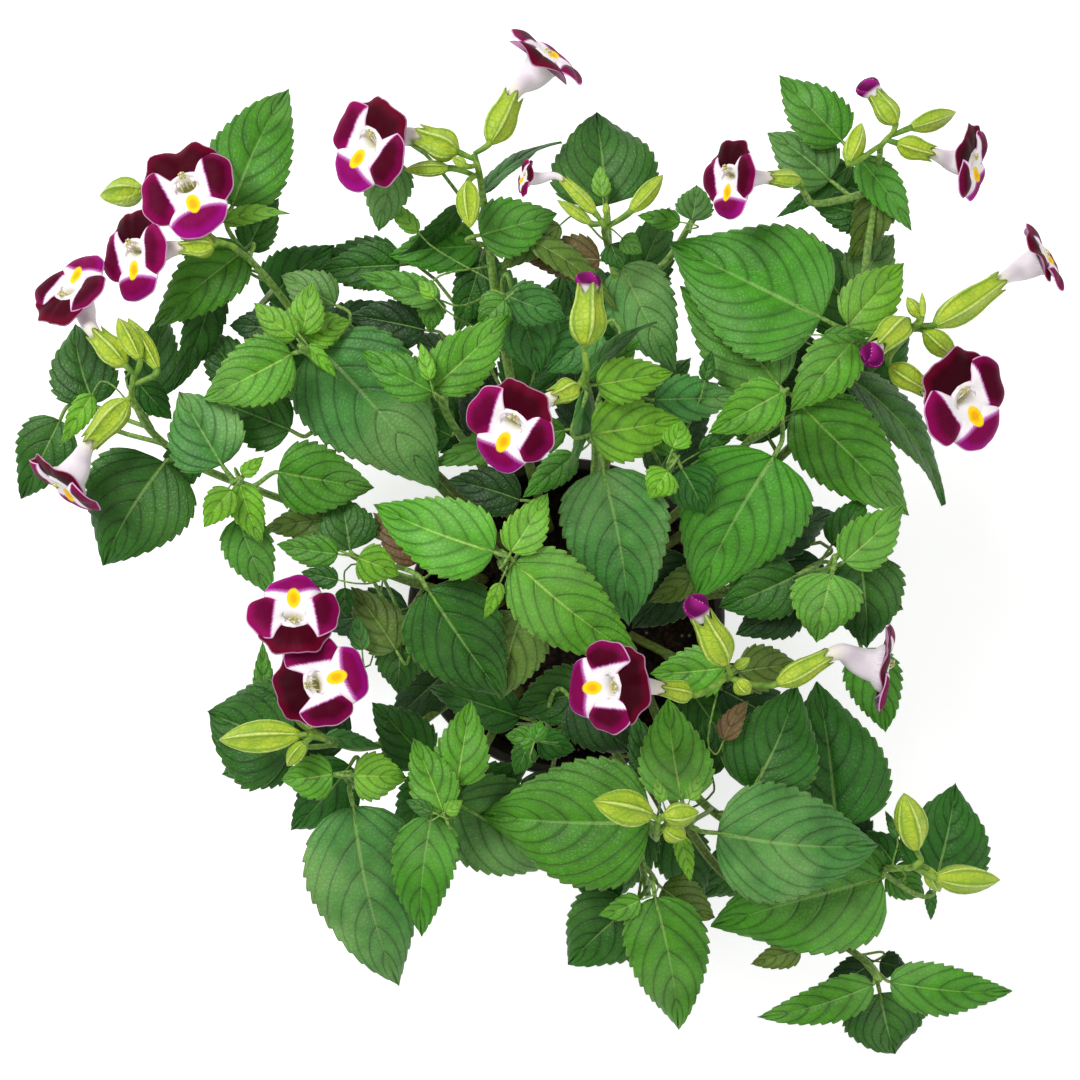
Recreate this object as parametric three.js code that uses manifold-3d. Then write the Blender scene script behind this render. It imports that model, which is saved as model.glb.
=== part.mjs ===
// Potted wishbone flower: a bushy plant in a black nursery pot, seen in its photo from straight above.
// Millimetres, +Z up, with the origin at the centre of the pot's underside.
import * as THREE from "three";
import { mergeVertices } from "three/addons/utils/BufferGeometryUtils.js";
import Module from "manifold-3d";

const wasm = await Module();
wasm.setup();

// Pot and soil
const potHeight = 100;
const rimRadius = 60;
const rimBand = 9;
const rimStep = 2.2;
const baseRadius = 43;
const potWall = 1.8;
const potSides = 24;
const drainRadius = 4;
const drainRing = 29;
const drainCount = 5;
const seatGap = 0.3;
const soilLevel = 86;
const soilCrown = 3;
const holeFloor = 64;
const holeRadius = 3.3;

// How the photo was taken: a camera above the plant, looking straight down
const cameraHeight = 800;
const photoFocal = 1860;
const photoMiddle = 540;
const potCentrePx = [566, 617];

// Canopy: a shallow dome that the uppermost leaves lie in
const domeTop = 190;
const domeFall = 42;
const domeReachPx = 520;
const domeCentrePx = [555, 560];
const layerStep = 8;
const leafClearance = 2.9;
const beadClearance = 1.6;

// Plant parts
const leafThickness = 0.9;
const leafFold = 0.2;
const leafArch = 0.07;
const stemRadius = 2.3;
const stemTipRadius = 1.1;
const stemSides = 4;
const longSpan = 34;
const lowestNode = 100;
const petioleDroop = 7;
const petioleSpacing = 3.4;
const petioleRadius = 0.8;
const petioleDepth = 1.3;
const petioleBend = 12;
const petioleFoot = 3;
const racemeRadius = 1.1;
const pedicelRadius = 0.8;
const pedicelSpacing = 1.9;

// Leaf margin, along the blade as shares of its length and across as shares of its half width
const firstTooth = 0.09;
const toothedSpan = 0.84;
const toothReach = 1.06;
const notchPlace = 0.28;
const notchReach = 0.9;

// Calyx, as shares of its length and half width
const calyxWaist = 0.45;
const calyxMouth = 0.66;
const calyxFootRadius = 1.2;
const keelDepth = 0.7;
const fiveKeelWidth = 10.5;

// Corolla at full size: its tube, the funnel of its throat and its four lobes
const petalThickness = 0.8;
const faceRadius = 15.5;
const tubeRadius = 2.1;
const tubeMiddleRadius = 3.4;
const tubeWaistRadius = 5.6;
const tubeWaistDepth = 5.2;
const throatRadius = 7.6;
const throatDepth = 3.2;
const throatHollow = 5;
const tubePull = 0.5;
const notchDrop = 0.5;
const lobeRise = 0.6;
const lobeReach = [15, 14, 15, 16];
const lobeTurns = [-45, -25, 0, 25];
const lobeShares = [0.68, 0.96, 1, 0.96];

// A rolled bud's radius at shares of its length
const budRings = [[0, 2.6], [0.35, 4], [0.75, 4.4], [1, 2]];

// Leaf colours, from young growth to dead leaves
const tones = {
  young: 0x9ccb45,
  bright: 0x6cb43c,
  mid: 0x4c9336,
  blue: 0x4a8a58,
  dark: 0x2f6b30,
  darkest: 0x1c451f,
  olive: 0x66762f,
  dull: 0x5d7a52,
  brown: 0x6a5030,
};

// Leafy stems. root: angle in degrees and distance in mm from the pot's centre, in the soil.
// paths: points [x px, y px, height mm]; the first path leaves the soil, the others branch off it.
const stems = {
  "nw": { "root": [131, 34], "paths": [
    [[455, 492, 114], [350, 390, 128], [288, 305, 141], [252, 262, 154], [236, 249, 162]]] },
  "s1": { "root": [142, 22], "paths": [
    [[470, 520, 118], [395, 440, 136], [330, 375, 154], [300, 345, 178]]] },
  "w": { "root": [156, 35], "paths": [
    [[440, 560, 112], [340, 520, 128], [262, 492, 146], [232, 482, 166]],
    [[262, 492, 146], [190, 462, 142], [150, 430, 146], [134, 402, 158]]] },
  "n": { "root": [101, 35], "paths": [
    [[528, 460, 118], [505, 350, 140], [492, 270, 154], [484, 205, 162], [481, 184, 168]]] },
  "n2": { "root": [82, 36], "paths": [
    [[600, 480, 116], [628, 370, 134], [618, 290, 148], [608, 245, 160], [605, 234, 168]],
    [[618, 290, 148], [664, 264, 136], [694, 218, 147]]] },
  "s2": { "root": [119, 25], "paths": [
    [[490, 480, 124], [450, 420, 152], [434, 384, 178]]] },
  "s3": { "root": [138, 9], "paths": [
    [[520, 585, 130], [504, 568, 160], [500, 562, 186]]] },
  "s4": { "root": [168, 26], "paths": [
    [[440, 590, 116], [390, 575, 140], [352, 555, 172]]] },
  "s5": { "root": [86, 22], "paths": [
    [[588, 520, 122], [596, 450, 150], [590, 400, 170], [586, 382, 184]]] },
  "s6": { "root": [58, 19], "paths": [
    [[625, 540, 124], [660, 485, 154], [674, 461, 178]]] },
  "s7": { "root": [47, 31], "paths": [
    [[680, 510, 116], [750, 440, 142], [780, 404, 164], [782, 390, 178]]] },
  "ne": { "root": [36, 37], "paths": [
    [[730, 500, 112], [815, 420, 128], [856, 345, 142], [866, 260, 138], [876, 190, 136], [880, 152, 148]],
    [[876, 190, 136], [840, 200, 144], [812, 203, 152], [805, 194, 158]],
    [[856, 345, 142], [884, 338, 150], [902, 332, 160]]] },
  "e": { "root": [10, 34], "paths": [
    [[700, 596, 114], [770, 585, 136], [820, 572, 156], [834, 568, 172]]] },
  "k": { "root": [-17, 27], "paths": [
    [[660, 650, 116], [705, 672, 144], [726, 678, 172]]] },
  "se": { "root": [-38, 36], "paths": [
    [[650, 700, 112], [700, 800, 126], [790, 850, 136], [870, 868, 140], [905, 868, 156]]] },
  "sse": { "root": [-52, 27], "paths": [
    [[640, 735, 112], [720, 870, 116], [820, 930, 124], [870, 965, 132], [880, 980, 140]]] },
  "s": { "root": [-69, 34], "paths": [
    [[600, 720, 114], [635, 790, 134], [652, 832, 156], [656, 838, 170]],
    [[635, 790, 134], [640, 850, 138], [648, 896, 146]],
    [[600, 720, 114], [560, 735, 130], [536, 740, 152]]] },
  "sw": { "root": [-122, 34], "paths": [
    [[500, 720, 116], [465, 780, 144], [441, 812, 168]]] },
  "swo": { "root": [-146, 35], "paths": [
    [[465, 690, 112], [400, 740, 126], [356, 782, 144], [344, 775, 160]],
    [[400, 740, 126], [360, 748, 138], [332, 742, 154]],
    [[356, 782, 144], [352, 800, 146]]] },
};

// Leaves, each: stem, base x and y px, tip x and y px, width mm, layer below the dome, tone,
// fall of the tip in mm, roll about the midrib in degrees.
const leafRows = [
  ["nw", 232, 206, 289, 85, 27, 1, "mid", 10, 0],
  ["nw", 224, 222, 290, 212, 7, 0, "young", 4, 20],
  ["nw", 248, 250, 279, 197, 13, 2, "dark", 5, 0],
  ["nw", 245, 250, 150, 328, 20, 1, "mid", 10, 0],
  ["nw", 215, 280, 175, 392, 14, 2, "dark", 10, 35],
  ["s1", 292, 354, 200, 399, 21, 0, "bright", 8, 0],
  ["s1", 296, 338, 253, 302, 10, 0, "young", 3, 0],
  ["s1", 302, 335, 312, 281, 12, 0, "young", 4, 0],
  ["s1", 305, 335, 352, 320, 12, 0, "young", 4, 0],
  ["s1", 317, 346, 440, 491, 40, 1, "blue", 12, 0],
  ["s1", 335, 305, 280, 275, 15, 2, "dull", 4, 0],
  ["s1", 290, 430, 215, 400, 20, 3, "dark", 6, 0],
  ["s1", 240, 380, 205, 332, 16, 3, "dark", 5, 0],
  ["s1", 285, 330, 228, 325, 13, 3, "darkest", 4, 0],
  ["w", 278, 472, 375, 488, 23, 1, "mid", 6, 0],
  ["w", 330, 520, 262, 530, 11, 2, "olive", 5, 0],
  ["w", 222, 465, 178, 390, 25, 1, "blue", 8, 0],
  ["w", 232, 490, 203, 528, 10, 0, "young", 4, 0],
  ["w", 240, 485, 262, 545, 11, 0, "young", 5, 0],
  ["w", 238, 518, 271, 597, 16, 1, "mid", 9, 0],
  ["w", 200, 430, 160, 510, 14, 3, "dark", 7, 0],
  ["w", 94, 404, 74, 322, 22, 2, "dark", 7, 0],
  ["w", 92, 395, 60, 445, 8, 0, "young", 4, 0],
  ["w", 60, 420, 20, 500, 20, 2, "dark", 8, 0],
  ["w", 165, 462, 102, 567, 36, 2, "dark", 10, 0],
  ["w", 140, 385, 172, 420, 11, 2, "dark", 4, 0],
  ["n", 392, 160, 378, 232, 16, 1, "blue", 6, 0],
  ["n", 418, 232, 385, 198, 6, 1, "young", 3, 0],
  ["n", 484, 192, 560, 138, 13, 1, "dark", 5, 60],
  ["n", 460, 207, 400, 258, 11, 1, "dark", 5, 58],
  ["n", 478, 246, 387, 256, 17, 1, "mid", 7, 0],
  ["n", 480, 235, 558, 213, 19, 1, "mid", 6, 0],
  ["n", 400, 265, 318, 270, 16, 2, "dark", 6, 0],
  ["n", 440, 300, 357, 273, 10, 1, "mid", 5, 0],
  ["n", 432, 298, 430, 333, 9, 1, "mid", 3, 0],
  ["n", 480, 262, 455, 335, 13, 2, "dark", 6, 0],
  ["n", 505, 300, 478, 325, 12, 1, "mid", 3, 0],
  ["n", 508, 296, 567, 318, 14, 1, "blue", 5, 0],
  ["n", 512, 290, 541, 375, 25, 1, "blue", 6, 0],
  ["n", 530, 240, 619, 309, 10, 1, "olive", 6, 25],
  ["n2", 607, 205, 596, 110, 34, 2, "dark", 10, 0],
  ["n2", 611, 244, 622, 270, 9, 1, "dark", 3, 0],
  ["n2", 680, 222, 637, 215, 7, 1, "mid", 3, 0],
  ["n2", 692, 220, 697, 184, 12, 2, "dull", 4, 0],
  ["n2", 560, 225, 495, 272, 9, 2, "olive", 5, 0],
  ["n2", 600, 260, 527, 262, 15, 3, "brown", 6, 0],
  ["n2", 622, 266, 676, 373, 23, 2, "blue", 8, 0],
  ["s2", 433, 392, 360, 350, 14, 0, "mid", 5, 0],
  ["s2", 433, 388, 510, 313, 18, 0, "bright", 7, 0],
  ["s2", 425, 330, 345, 315, 15, 3, "darkest", 5, 0],
  ["s2", 451, 436, 415, 420, 15, 3, "dark", 4, 0],
  ["s3", 494, 552, 371, 504, 24, 0, "bright", 12, 0],
  ["s3", 511, 552, 548, 492, 13, 0, "young", 6, 0],
  ["s3", 515, 562, 643, 660, 26, 0, "bright", 14, 0],
  ["s3", 500, 583, 484, 620, 5, 0, "young", 4, 20],
  ["s3", 520, 500, 445, 480, 15, 3, "darkest", 5, 0],
  ["s3", 522, 612, 500, 702, 23, 2, "olive", 8, 0],
  ["s4", 350, 550, 340, 495, 20, 1, "dark", 5, 0],
  ["s4", 358, 558, 400, 575, 12, 0, "young", 4, 0],
  ["s4", 338, 554, 275, 544, 10, 0, "mid", 5, 0],
  ["s4", 418, 562, 372, 512, 12, 2, "brown", 5, 0],
  ["s4", 428, 590, 505, 700, 31, 1, "dark", 12, 0],
  ["s4", 396, 650, 350, 586, 16, 2, "olive", 5, 0],
  ["s4", 401, 642, 398, 695, 15, 2, "dark", 6, 0],
  ["s5", 597, 385, 675, 372, 14, 0, "young", 5, 0],
  ["s5", 591, 434, 682, 418, 20, 1, "young", 7, 0],
  ["s5", 583, 392, 570, 475, 10, 1, "blue", 8, 55],
  ["s5", 586, 380, 655, 318, 12, 1, "dark", 5, 60],
  ["s5", 590, 378, 640, 340, 10, 1, "mid", 4, 0],
  ["s5", 600, 330, 545, 372, 19, 1, "blue", 5, 0],
  ["s5", 565, 430, 425, 467, 14, 2, "mid", 10, 0],
  ["s5", 575, 455, 522, 498, 10, 2, "mid", 5, 0],
  ["s5", 603, 470, 630, 628, 33, 1, "blue", 14, 0],
  ["s6", 673, 448, 683, 420, 9, 0, "young", 3, 0],
  ["s6", 668, 471, 648, 498, 11, 0, "young", 3, 0],
  ["s6", 682, 469, 705, 515, 16, 1, "dark", 6, 0],
  ["s6", 670, 455, 650, 403, 8, 1, "mid", 4, 0],
  ["s6", 655, 400, 742, 398, 15, 2, "blue", 6, 0],
  ["s6", 700, 452, 742, 427, 6, 2, "dark", 3, 0],
  ["ne", 822, 318, 668, 242, 44, 1, "mid", 13, 0],
  ["ne", 852, 342, 790, 412, 18, 1, "bright", 7, 0],
  ["ne", 850, 378, 950, 503, 21, 2, "dark", 10, 42],
  ["ne", 842, 141, 779, 73, 19, 1, "mid", 7, 0],
  ["ne", 830, 180, 767, 132, 20, 2, "dull", 6, 0],
  ["ne", 850, 165, 775, 218, 8, 2, "dark", 6, 0],
  ["ne", 860, 160, 913, 231, 13, 1, "mid", 7, 0],
  ["ne", 870, 215, 811, 203, 15, 3, "dark", 5, 0],
  ["ne", 885, 185, 850, 262, 14, 2, "olive", 6, 0],
  ["ne", 856, 288, 894, 233, 18, 2, "dull", 5, 0],
  ["ne", 848, 326, 906, 262, 18, 1, "young", 7, 0],
  ["ne", 824, 335, 876, 335, 5, 0, "mid", 3, 0],
  ["s7", 780, 386, 679, 284, 28, 2, "mid", 10, 0],
  ["s7", 782, 392, 708, 433, 16, 0, "bright", 6, 0],
  ["s7", 800, 405, 912, 517, 28, 1, "mid", 11, 0],
  ["s7", 774, 456, 695, 600, 40, 1, "mid", 13, 0],
  ["e", 832, 545, 865, 495, 13, 2, "dark", 5, 0],
  ["e", 844, 562, 905, 504, 16, 0, "bright", 5, 0],
  ["e", 832, 574, 816, 643, 22, 0, "bright", 6, 0],
  ["e", 860, 556, 868, 650, 25, 1, "dark", 8, 0],
  ["e", 862, 650, 887, 734, 18, 2, "mid", 8, 0],
  ["e", 797, 575, 718, 608, 20, 2, "dark", 7, 0],
  ["e", 800, 605, 735, 635, 16, 3, "darkest", 6, 0],
  ["e", 700, 572, 648, 603, 10, 2, "olive", 5, 0],
  ["e", 692, 560, 632, 630, 23, 3, "darkest", 8, 0],
  ["k", 725, 668, 649, 674, 16, 1, "bright", 6, 0],
  ["k", 738, 672, 800, 664, 15, 2, "olive", 6, 0],
  ["se", 717, 833, 882, 846, 37, 0, "blue", 14, 0],
  ["se", 752, 790, 797, 684, 30, 1, "dark", 9, 0],
  ["se", 836, 828, 817, 680, 37, 2, "dark", 12, 0],
  ["se", 882, 878, 709, 928, 39, 1, "mid", 15, 0],
  ["se", 800, 950, 750, 965, 9, 2, "olive", 4, 0],
  ["se", 936, 880, 957, 782, 30, 2, "dark", 8, 0],
  ["se", 895, 865, 866, 830, 13, 2, "dark", 4, 0],
  ["se", 890, 870, 925, 897, 13, 2, "mid", 4, 0],
  ["se", 885, 868, 845, 855, 10, 1, "mid", 3, 0],
  ["se", 928, 860, 980, 858, 6, 2, "blue", 4, 0],
  ["sse", 873, 985, 756, 1019, 14, 1, "mid", 9, 0],
  ["sse", 890, 982, 1015, 992, 17, 1, "mid", 9, 0],
  ["sse", 880, 993, 896, 1056, 28, 2, "dark", 6, 0],
  ["sse", 873, 962, 817, 995, 12, 3, "darkest", 5, 0],
  ["sse", 880, 962, 907, 967, 9, 3, "darkest", 3, 0],
  ["s", 650, 822, 478, 815, 41, 1, "mid", 14, 0],
  ["s", 682, 800, 668, 697, 23, 1, "bright", 8, 0],
  ["s", 655, 785, 632, 712, 12, 2, "dark", 7, 0],
  ["s", 712, 775, 705, 715, 10, 3, "dark", 5, 0],
  ["s", 655, 897, 679, 1033, 26, 1, "mid", 13, 0],
  ["s", 632, 905, 567, 966, 27, 2, "dark", 8, 0],
  ["s", 618, 900, 572, 864, 14, 2, "dark", 5, 0],
  ["s", 680, 835, 691, 883, 6, 1, "young", 4, 0],
  ["s", 662, 888, 716, 918, 16, 2, "olive", 6, 0],
  ["s", 538, 742, 576, 750, 10, 3, "dark", 4, 0],
  ["s", 572, 700, 632, 755, 20, 3, "darkest", 6, 0],
  ["s", 595, 690, 512, 711, 20, 3, "dark", 7, 0],
  ["sw", 443, 812, 412, 737, 15, 0, "bright", 7, 0],
  ["sw", 457, 785, 471, 699, 17, 0, "bright", 8, 0],
  ["sw", 432, 815, 421, 940, 20, 1, "mid", 12, 0],
  ["sw", 455, 802, 575, 864, 31, 2, "dull", 10, 0],
  ["sw", 462, 798, 530, 765, 16, 3, "dark", 6, 0],
  ["sw", 520, 717, 425, 687, 15, 3, "dark", 7, 0],
  ["swo", 333, 774, 280, 780, 14, 0, "bright", 5, 0],
  ["swo", 354, 776, 408, 778, 15, 0, "young", 6, 0],
  ["swo", 353, 806, 399, 991, 36, 1, "blue", 16, 0],
  ["swo", 427, 762, 371, 702, 18, 2, "dark", 5, 0],
  ["swo", 326, 736, 382, 747, 6, 1, "blue", 3, 0],
  ["swo", 292, 742, 206, 712, 36, 2, "dark", 8, 0],
  ["swo", 292, 752, 220, 775, 17, 3, "dark", 7, 0],
  ["swo", 264, 706, 262, 640, 7, 2, "mid", 4, 0],
  ["n2", 588, 440, 568, 345, 17, 8, "darkest", 12, 0],
  ["s7", 655, 478, 712, 392, 19, 8, "darkest", 13, 0],
  ["e", 742, 548, 838, 512, 20, 8, "darkest", 14, 0],
  ["k", 722, 690, 806, 738, 19, 8, "darkest", 13, 0],
  ["s", 552, 772, 532, 862, 20, 8, "darkest", 13, 0],
  ["swo", 444, 674, 392, 722, 17, 8, "darkest", 10, 0],
  ["s4", 408, 608, 314, 622, 18, 8, "darkest", 13, 0],
  ["s2", 500, 462, 458, 376, 15, 8, "darkest", 12, 0],
  ["sse", 612, 775, 640, 868, 15, 9, "darkest", 12, 0],
];

// Racemes. stem: leafy stem and its path that the raceme grows from. axis: points [x px, y px, rise mm]
// above the dome. Each calyx: base and tip px, width and rise mm, and what it holds: a closed calyx
// holds nothing, "flower" an open corolla and "bud" a corolla still rolled up.
const racemes = {
  "a": { "stem": ["nw", 0], "axis": [[222, 243, 9], [208, 238, 10]], "calyces": [
    { "base": [214, 246], "tip": [187, 247], "width": 9, "rise": 10,
      "flower": { "face": [132, 254], "rise": 17, "lean": 34, "lip": [-0.1, 1, 0] } },
    { "base": [206, 236], "tip": [198, 216], "width": 8, "rise": 8,
      "flower": { "face": [187, 188], "rise": 22, "lean": 10, "lip": [-0.38, 0.92, 0], "size": 1.08 } },
    { "base": [143, 190], "tip": [100, 196], "width": 11.5, "rise": 5 }] },
  "b": { "stem": ["w", 1], "axis": [[132, 388, 7], [134, 374, 9]], "calyces": [
    { "base": [125, 365], "tip": [99, 338], "width": 10.5, "rise": 11,
      "flower": { "face": [68, 287], "rise": 18, "lean": 42, "lip": [-0.2, -1, 0], "size": 0.95 } },
    { "base": [140, 360], "tip": [118, 318], "width": 8, "rise": 10 },
    { "base": [158, 370], "tip": [128, 318], "width": 7, "rise": 5 },
    { "base": [128, 400], "tip": [94, 438], "width": 11, "rise": 9,
      "flower": { "face": [62, 488], "rise": 12, "lean": 76, "lip": [-0.3, 0.2, 1] } }] },
  "d": { "stem": ["n", 0], "axis": [[478, 168, 8], [474, 154, 10]], "calyces": [
    { "base": [490, 143], "tip": [510, 101], "width": 11.5, "rise": 12,
      "flower": { "face": [549, 54], "rise": 15, "lean": 72, "lip": [0.1, 0.2, 1] } },
    { "base": [458, 152], "tip": [424, 138], "width": 12, "rise": 11,
      "flower": { "face": [366, 144], "rise": 17, "lean": 34, "lip": [0.7, 0.7, 0], "size": 1.05 } },
    { "base": [450, 168], "tip": [404, 170], "width": 6, "rise": 5 },
    { "base": [468, 182], "tip": [470, 228], "width": 9, "rise": 7 },
    { "base": [466, 166], "tip": [452, 158], "width": 4, "rise": 14 }] },
  "e": { "stem": ["n2", 0], "axis": [[604, 226, 6], [600, 219, 8]], "calyces": [
    { "base": [596, 214], "tip": [565, 182], "width": 5.5, "rise": 9,
      "flower": { "face": [524, 177], "rise": 12, "lean": 72, "lip": [0.2, 0.3, 1], "size": 0.42 } },
    { "base": [592, 224], "tip": [557, 200], "width": 4.5, "rise": 5 },
    { "base": [606, 214], "tip": [606, 203], "width": 3, "rise": 9 },
    { "base": [630, 212], "tip": [663, 175], "width": 7, "rise": 7 }] },
  "f": { "stem": ["ne", 1], "axis": [[802, 186, 7]], "calyces": [
    { "base": [800, 180], "tip": [772, 178], "width": 7, "rise": 9,
      "flower": { "face": [727, 178], "rise": 14, "lean": 55, "lip": [0.1, 1, 0], "size": 0.86 } }] },
  "g": { "stem": ["ne", 0], "axis": [[884, 142, 7], [892, 134, 9]], "calyces": [
    { "base": [896, 124], "tip": [877, 97], "width": 9, "rise": 12,
      "bud": { "tip": [862, 81], "rise": 14 } },
    { "base": [910, 128], "tip": [956, 112], "width": 8, "rise": 10 },
    { "base": [897, 143], "tip": [928, 152], "width": 9, "rise": 9,
      "flower": { "face": [975, 164], "rise": 15, "lean": 62, "lip": [0.1, 0.5, 1], "size": 0.88 } },
    { "base": [848, 163], "tip": [862, 123], "width": 8, "rise": 4 }] },
  "h": { "stem": ["ne", 2], "axis": [[912, 327, 7], [920, 325, 9]], "calyces": [
    { "base": [935, 325], "tip": [994, 285], "width": 11.5, "rise": 10,
      "flower": { "face": [1047, 256], "rise": 14, "lean": 70, "lip": [0.2, 0.4, 1], "size": 0.86 } },
    { "base": [890, 366], "tip": [922, 386], "width": 9.5, "rise": 4,
      "flower": { "face": [968, 401], "rise": 14, "lean": 26, "lip": [-0.6, 0.8, 0], "size": 1.12 } },
    { "base": [906, 320], "tip": [880, 345], "width": 11, "rise": 12,
      "bud": { "tip": [867, 362], "rise": 12 } },
    { "base": [920, 318], "tip": [907, 297], "width": 5, "rise": 9 },
    { "base": [923, 318], "tip": [922, 292], "width": 2.5, "rise": 13 },
    { "base": [924, 330], "tip": [956, 358], "width": 9, "rise": 7 }] },
  "i": { "stem": ["s5", 0], "axis": [[586, 368, 12], [585, 352, 14]], "calyces": [
    { "base": [585, 345], "tip": [588, 296], "width": 13.5, "rise": 16,
      "bud": { "tip": [588, 272], "rise": 17 } },
    { "base": [578, 386], "tip": [556, 396], "width": 9, "rise": 11,
      "flower": { "face": [510, 427], "rise": 19, "lean": 28, "lip": [0.5, 0.85, 0] } }] },
  "j": { "stem": ["swo", 1], "axis": [[322, 738, 5], [308, 734, 8]], "calyces": [
    { "base": [300, 735], "tip": [219, 740], "width": 12, "rise": 8 },
    { "base": [305, 742], "tip": [287, 766], "width": 6.5, "rise": 9 },
    { "base": [309, 728], "tip": [314, 708], "width": 7, "rise": 4,
      "flower": { "face": [320, 682], "rise": 17, "lean": 14, "lip": [-0.95, -0.3, 0] } },
    { "base": [296, 716], "tip": [292, 686], "width": 7, "rise": 2,
      "flower": { "face": [294, 612], "rise": 13, "lean": 38, "lip": [0.05, -1, 0] } }] },
  "k": { "stem": ["k", 0], "axis": [[728, 678, 8], [731, 676, 11]], "calyces": [
    { "base": [726, 664], "tip": [704, 622], "width": 12, "rise": 15,
      "bud": { "tip": [691, 596], "rise": 16 } },
    { "base": [692, 695], "tip": [664, 689], "width": 8, "rise": 9,
      "flower": { "face": [606, 687], "rise": 17, "lean": 40, "lip": [1, 0.05, 0] } },
    { "base": [736, 680], "tip": [750, 694], "width": 6.5, "rise": 12 },
    { "base": [734, 668], "tip": [750, 658], "width": 4, "rise": 13 },
    { "base": [777, 684], "tip": [824, 658], "width": 9, "rise": 8,
      "flower": { "face": [888, 668], "rise": 9, "lean": 84, "lip": [0.1, 0.6, 1] } }] },
  "m": { "stem": ["s", 0], "axis": [[657, 828, 8], [658, 820, 10]], "calyces": [
    { "base": [652, 815], "tip": [593, 801], "width": 13, "rise": 11 },
    { "base": [664, 816], "tip": [699, 812], "width": 9, "rise": 13 },
    { "base": [664, 827], "tip": [686, 838], "width": 8, "rise": 7 }] },
  "n": { "stem": ["se", 0], "axis": [[916, 865, 8], [922, 860, 9]], "calyces": [
    { "base": [916, 849], "tip": [904, 793], "width": 12, "rise": 11 },
    { "base": [936, 878], "tip": [1000, 880], "width": 11, "rise": 9 },
    { "base": [927, 868], "tip": [940, 892], "width": 6, "rise": 5 }] },
};

const cameraX = (-(potCentrePx[0] - photoMiddle) * (cameraHeight - potHeight)) / photoFocal;
const cameraY = ((potCentrePx[1] - photoMiddle) * (cameraHeight - potHeight)) / photoFocal;
const up = new THREE.Vector3(0, 0, 1);

function fromPhoto([px, py], height) {
  const scale = (cameraHeight - height) / photoFocal;
  const x = cameraX + (px - photoMiddle) * scale;
  const y = cameraY - (py - photoMiddle) * scale;
  return new THREE.Vector3(x, y, height);
}

function toPhoto(point) {
  const scale = photoFocal / (cameraHeight - point.z);
  return [photoMiddle + (point.x - cameraX) * scale, photoMiddle - (point.y - cameraY) * scale];
}

function domeHeight([px, py]) {
  const reach = Math.hypot(px - domeCentrePx[0], py - domeCentrePx[1]) / domeReachPx;
  return domeTop - domeFall * reach * reach;
}

function onDome([px, py], rise) {
  return fromPhoto([px, py], domeHeight([px, py]) + rise);
}

// Solids and meshes
function closedGeometry(points, faces) {
  const geometry = new THREE.BufferGeometry();
  geometry.setAttribute("position", new THREE.Float32BufferAttribute(points.flatMap((p) => p.toArray()), 3));
  geometry.setIndex(faces.flat());
  return geometry;
}

function toSolid(geometry) {
  const bare = new THREE.BufferGeometry();
  bare.setAttribute("position", geometry.getAttribute("position").clone());
  bare.setIndex(geometry.getIndex());
  const merged = mergeVertices(bare, 1e-4);
  const index = merged.getIndex().array;
  const kept = [];
  for (let i = 0; i < index.length; i += 3) {
    const [a, b, c] = index.slice(i, i + 3);
    if (a !== b && b !== c && c !== a) kept.push(a, b, c);
  }
  const solid = new wasm.Manifold(new wasm.Mesh({
    numProp: 3,
    vertProperties: new Float32Array(merged.getAttribute("position").array),
    triVerts: new Uint32Array(kept),
  }));
  return solid;
}

function toGeometry(solid) {
  const { vertProperties, triVerts } = solid.getMesh();
  const geometry = new THREE.BufferGeometry();
  geometry.setAttribute("position", new THREE.Float32BufferAttribute(vertProperties, 3));
  geometry.setIndex(new THREE.Uint32BufferAttribute(triVerts, 1));
  geometry.computeVertexNormals();
  return geometry;
}

// The main body of what was fused: loose scraps are dropped and sealed hollows filled.
function fuse(solids) {
  const joined = solids.reduce((sum, next) => sum.add(next));
  const bodies = joined.decompose().sort((a, b) => b.volume() - a.volume());
  return bodies[0];
}

// A skin over rings of points with as many points each, capped flat at both ends.
function loft(rings) {
  const count = rings[0].length;
  const last = (rings.length - 1) * count;
  const faces = [];
  for (let i = 1; i < count - 1; i += 1) {
    faces.push([0, i + 1, i], [last, last + i, last + i + 1]);
  }
  for (let r = 0; r < rings.length - 1; r += 1) {
    for (let i = 0; i < count; i += 1) {
      const a = r * count + i;
      const b = r * count + ((i + 1) % count);
      faces.push([a, b, b + count], [a, b + count, a + count]);
    }
  }
  return toSolid(closedGeometry(rings.flat(), faces));
}

function ring(centre, sideways, upwards, radii) {
  return radii.map((radius, i) => {
    const angle = (2 * Math.PI * i) / radii.length;
    return centre.clone()
      .addScaledVector(sideways, radius * Math.cos(angle))
      .addScaledVector(upwards, radius * Math.sin(angle));
  });
}

function curveThrough(points) {
  return new THREE.CatmullRomCurve3(points, false, "centripetal");
}

function taperedTube(curve, startRadius, endRadius, sides, stations) {
  const rings = [];
  let sideways = new THREE.Vector3(1, 0, 0);
  for (const along of stations) {
    const tangent = curve.getTangent(along);
    sideways = sideways.clone().addScaledVector(tangent, -sideways.dot(tangent));
    if (sideways.length() < 0.2) sideways = new THREE.Vector3(0, 1, 0).cross(tangent);
    sideways.normalize();
    const radius = startRadius + (endRadius - startRadius) * along;
    rings.push(ring(curve.getPoint(along), sideways, tangent.clone().cross(sideways), Array(sides).fill(radius)));
  }
  return loft(rings);
}

// Leaf blade: u runs from base to tip, s from one margin to the other
function bladeProfile(u) {
  return 2.68 * u ** 0.55 * (1 - u) ** 0.95;
}

function leafFromRow([stem, baseX, baseY, tipX, tipY, width, layer, tone, fall, roll]) {
  const base = [baseX, baseY];
  return { stem, base, tip: [tipX, tipY], width, layer, tone, fall, roll, height: domeHeight(base) - layerStep * layer };
}

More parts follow.
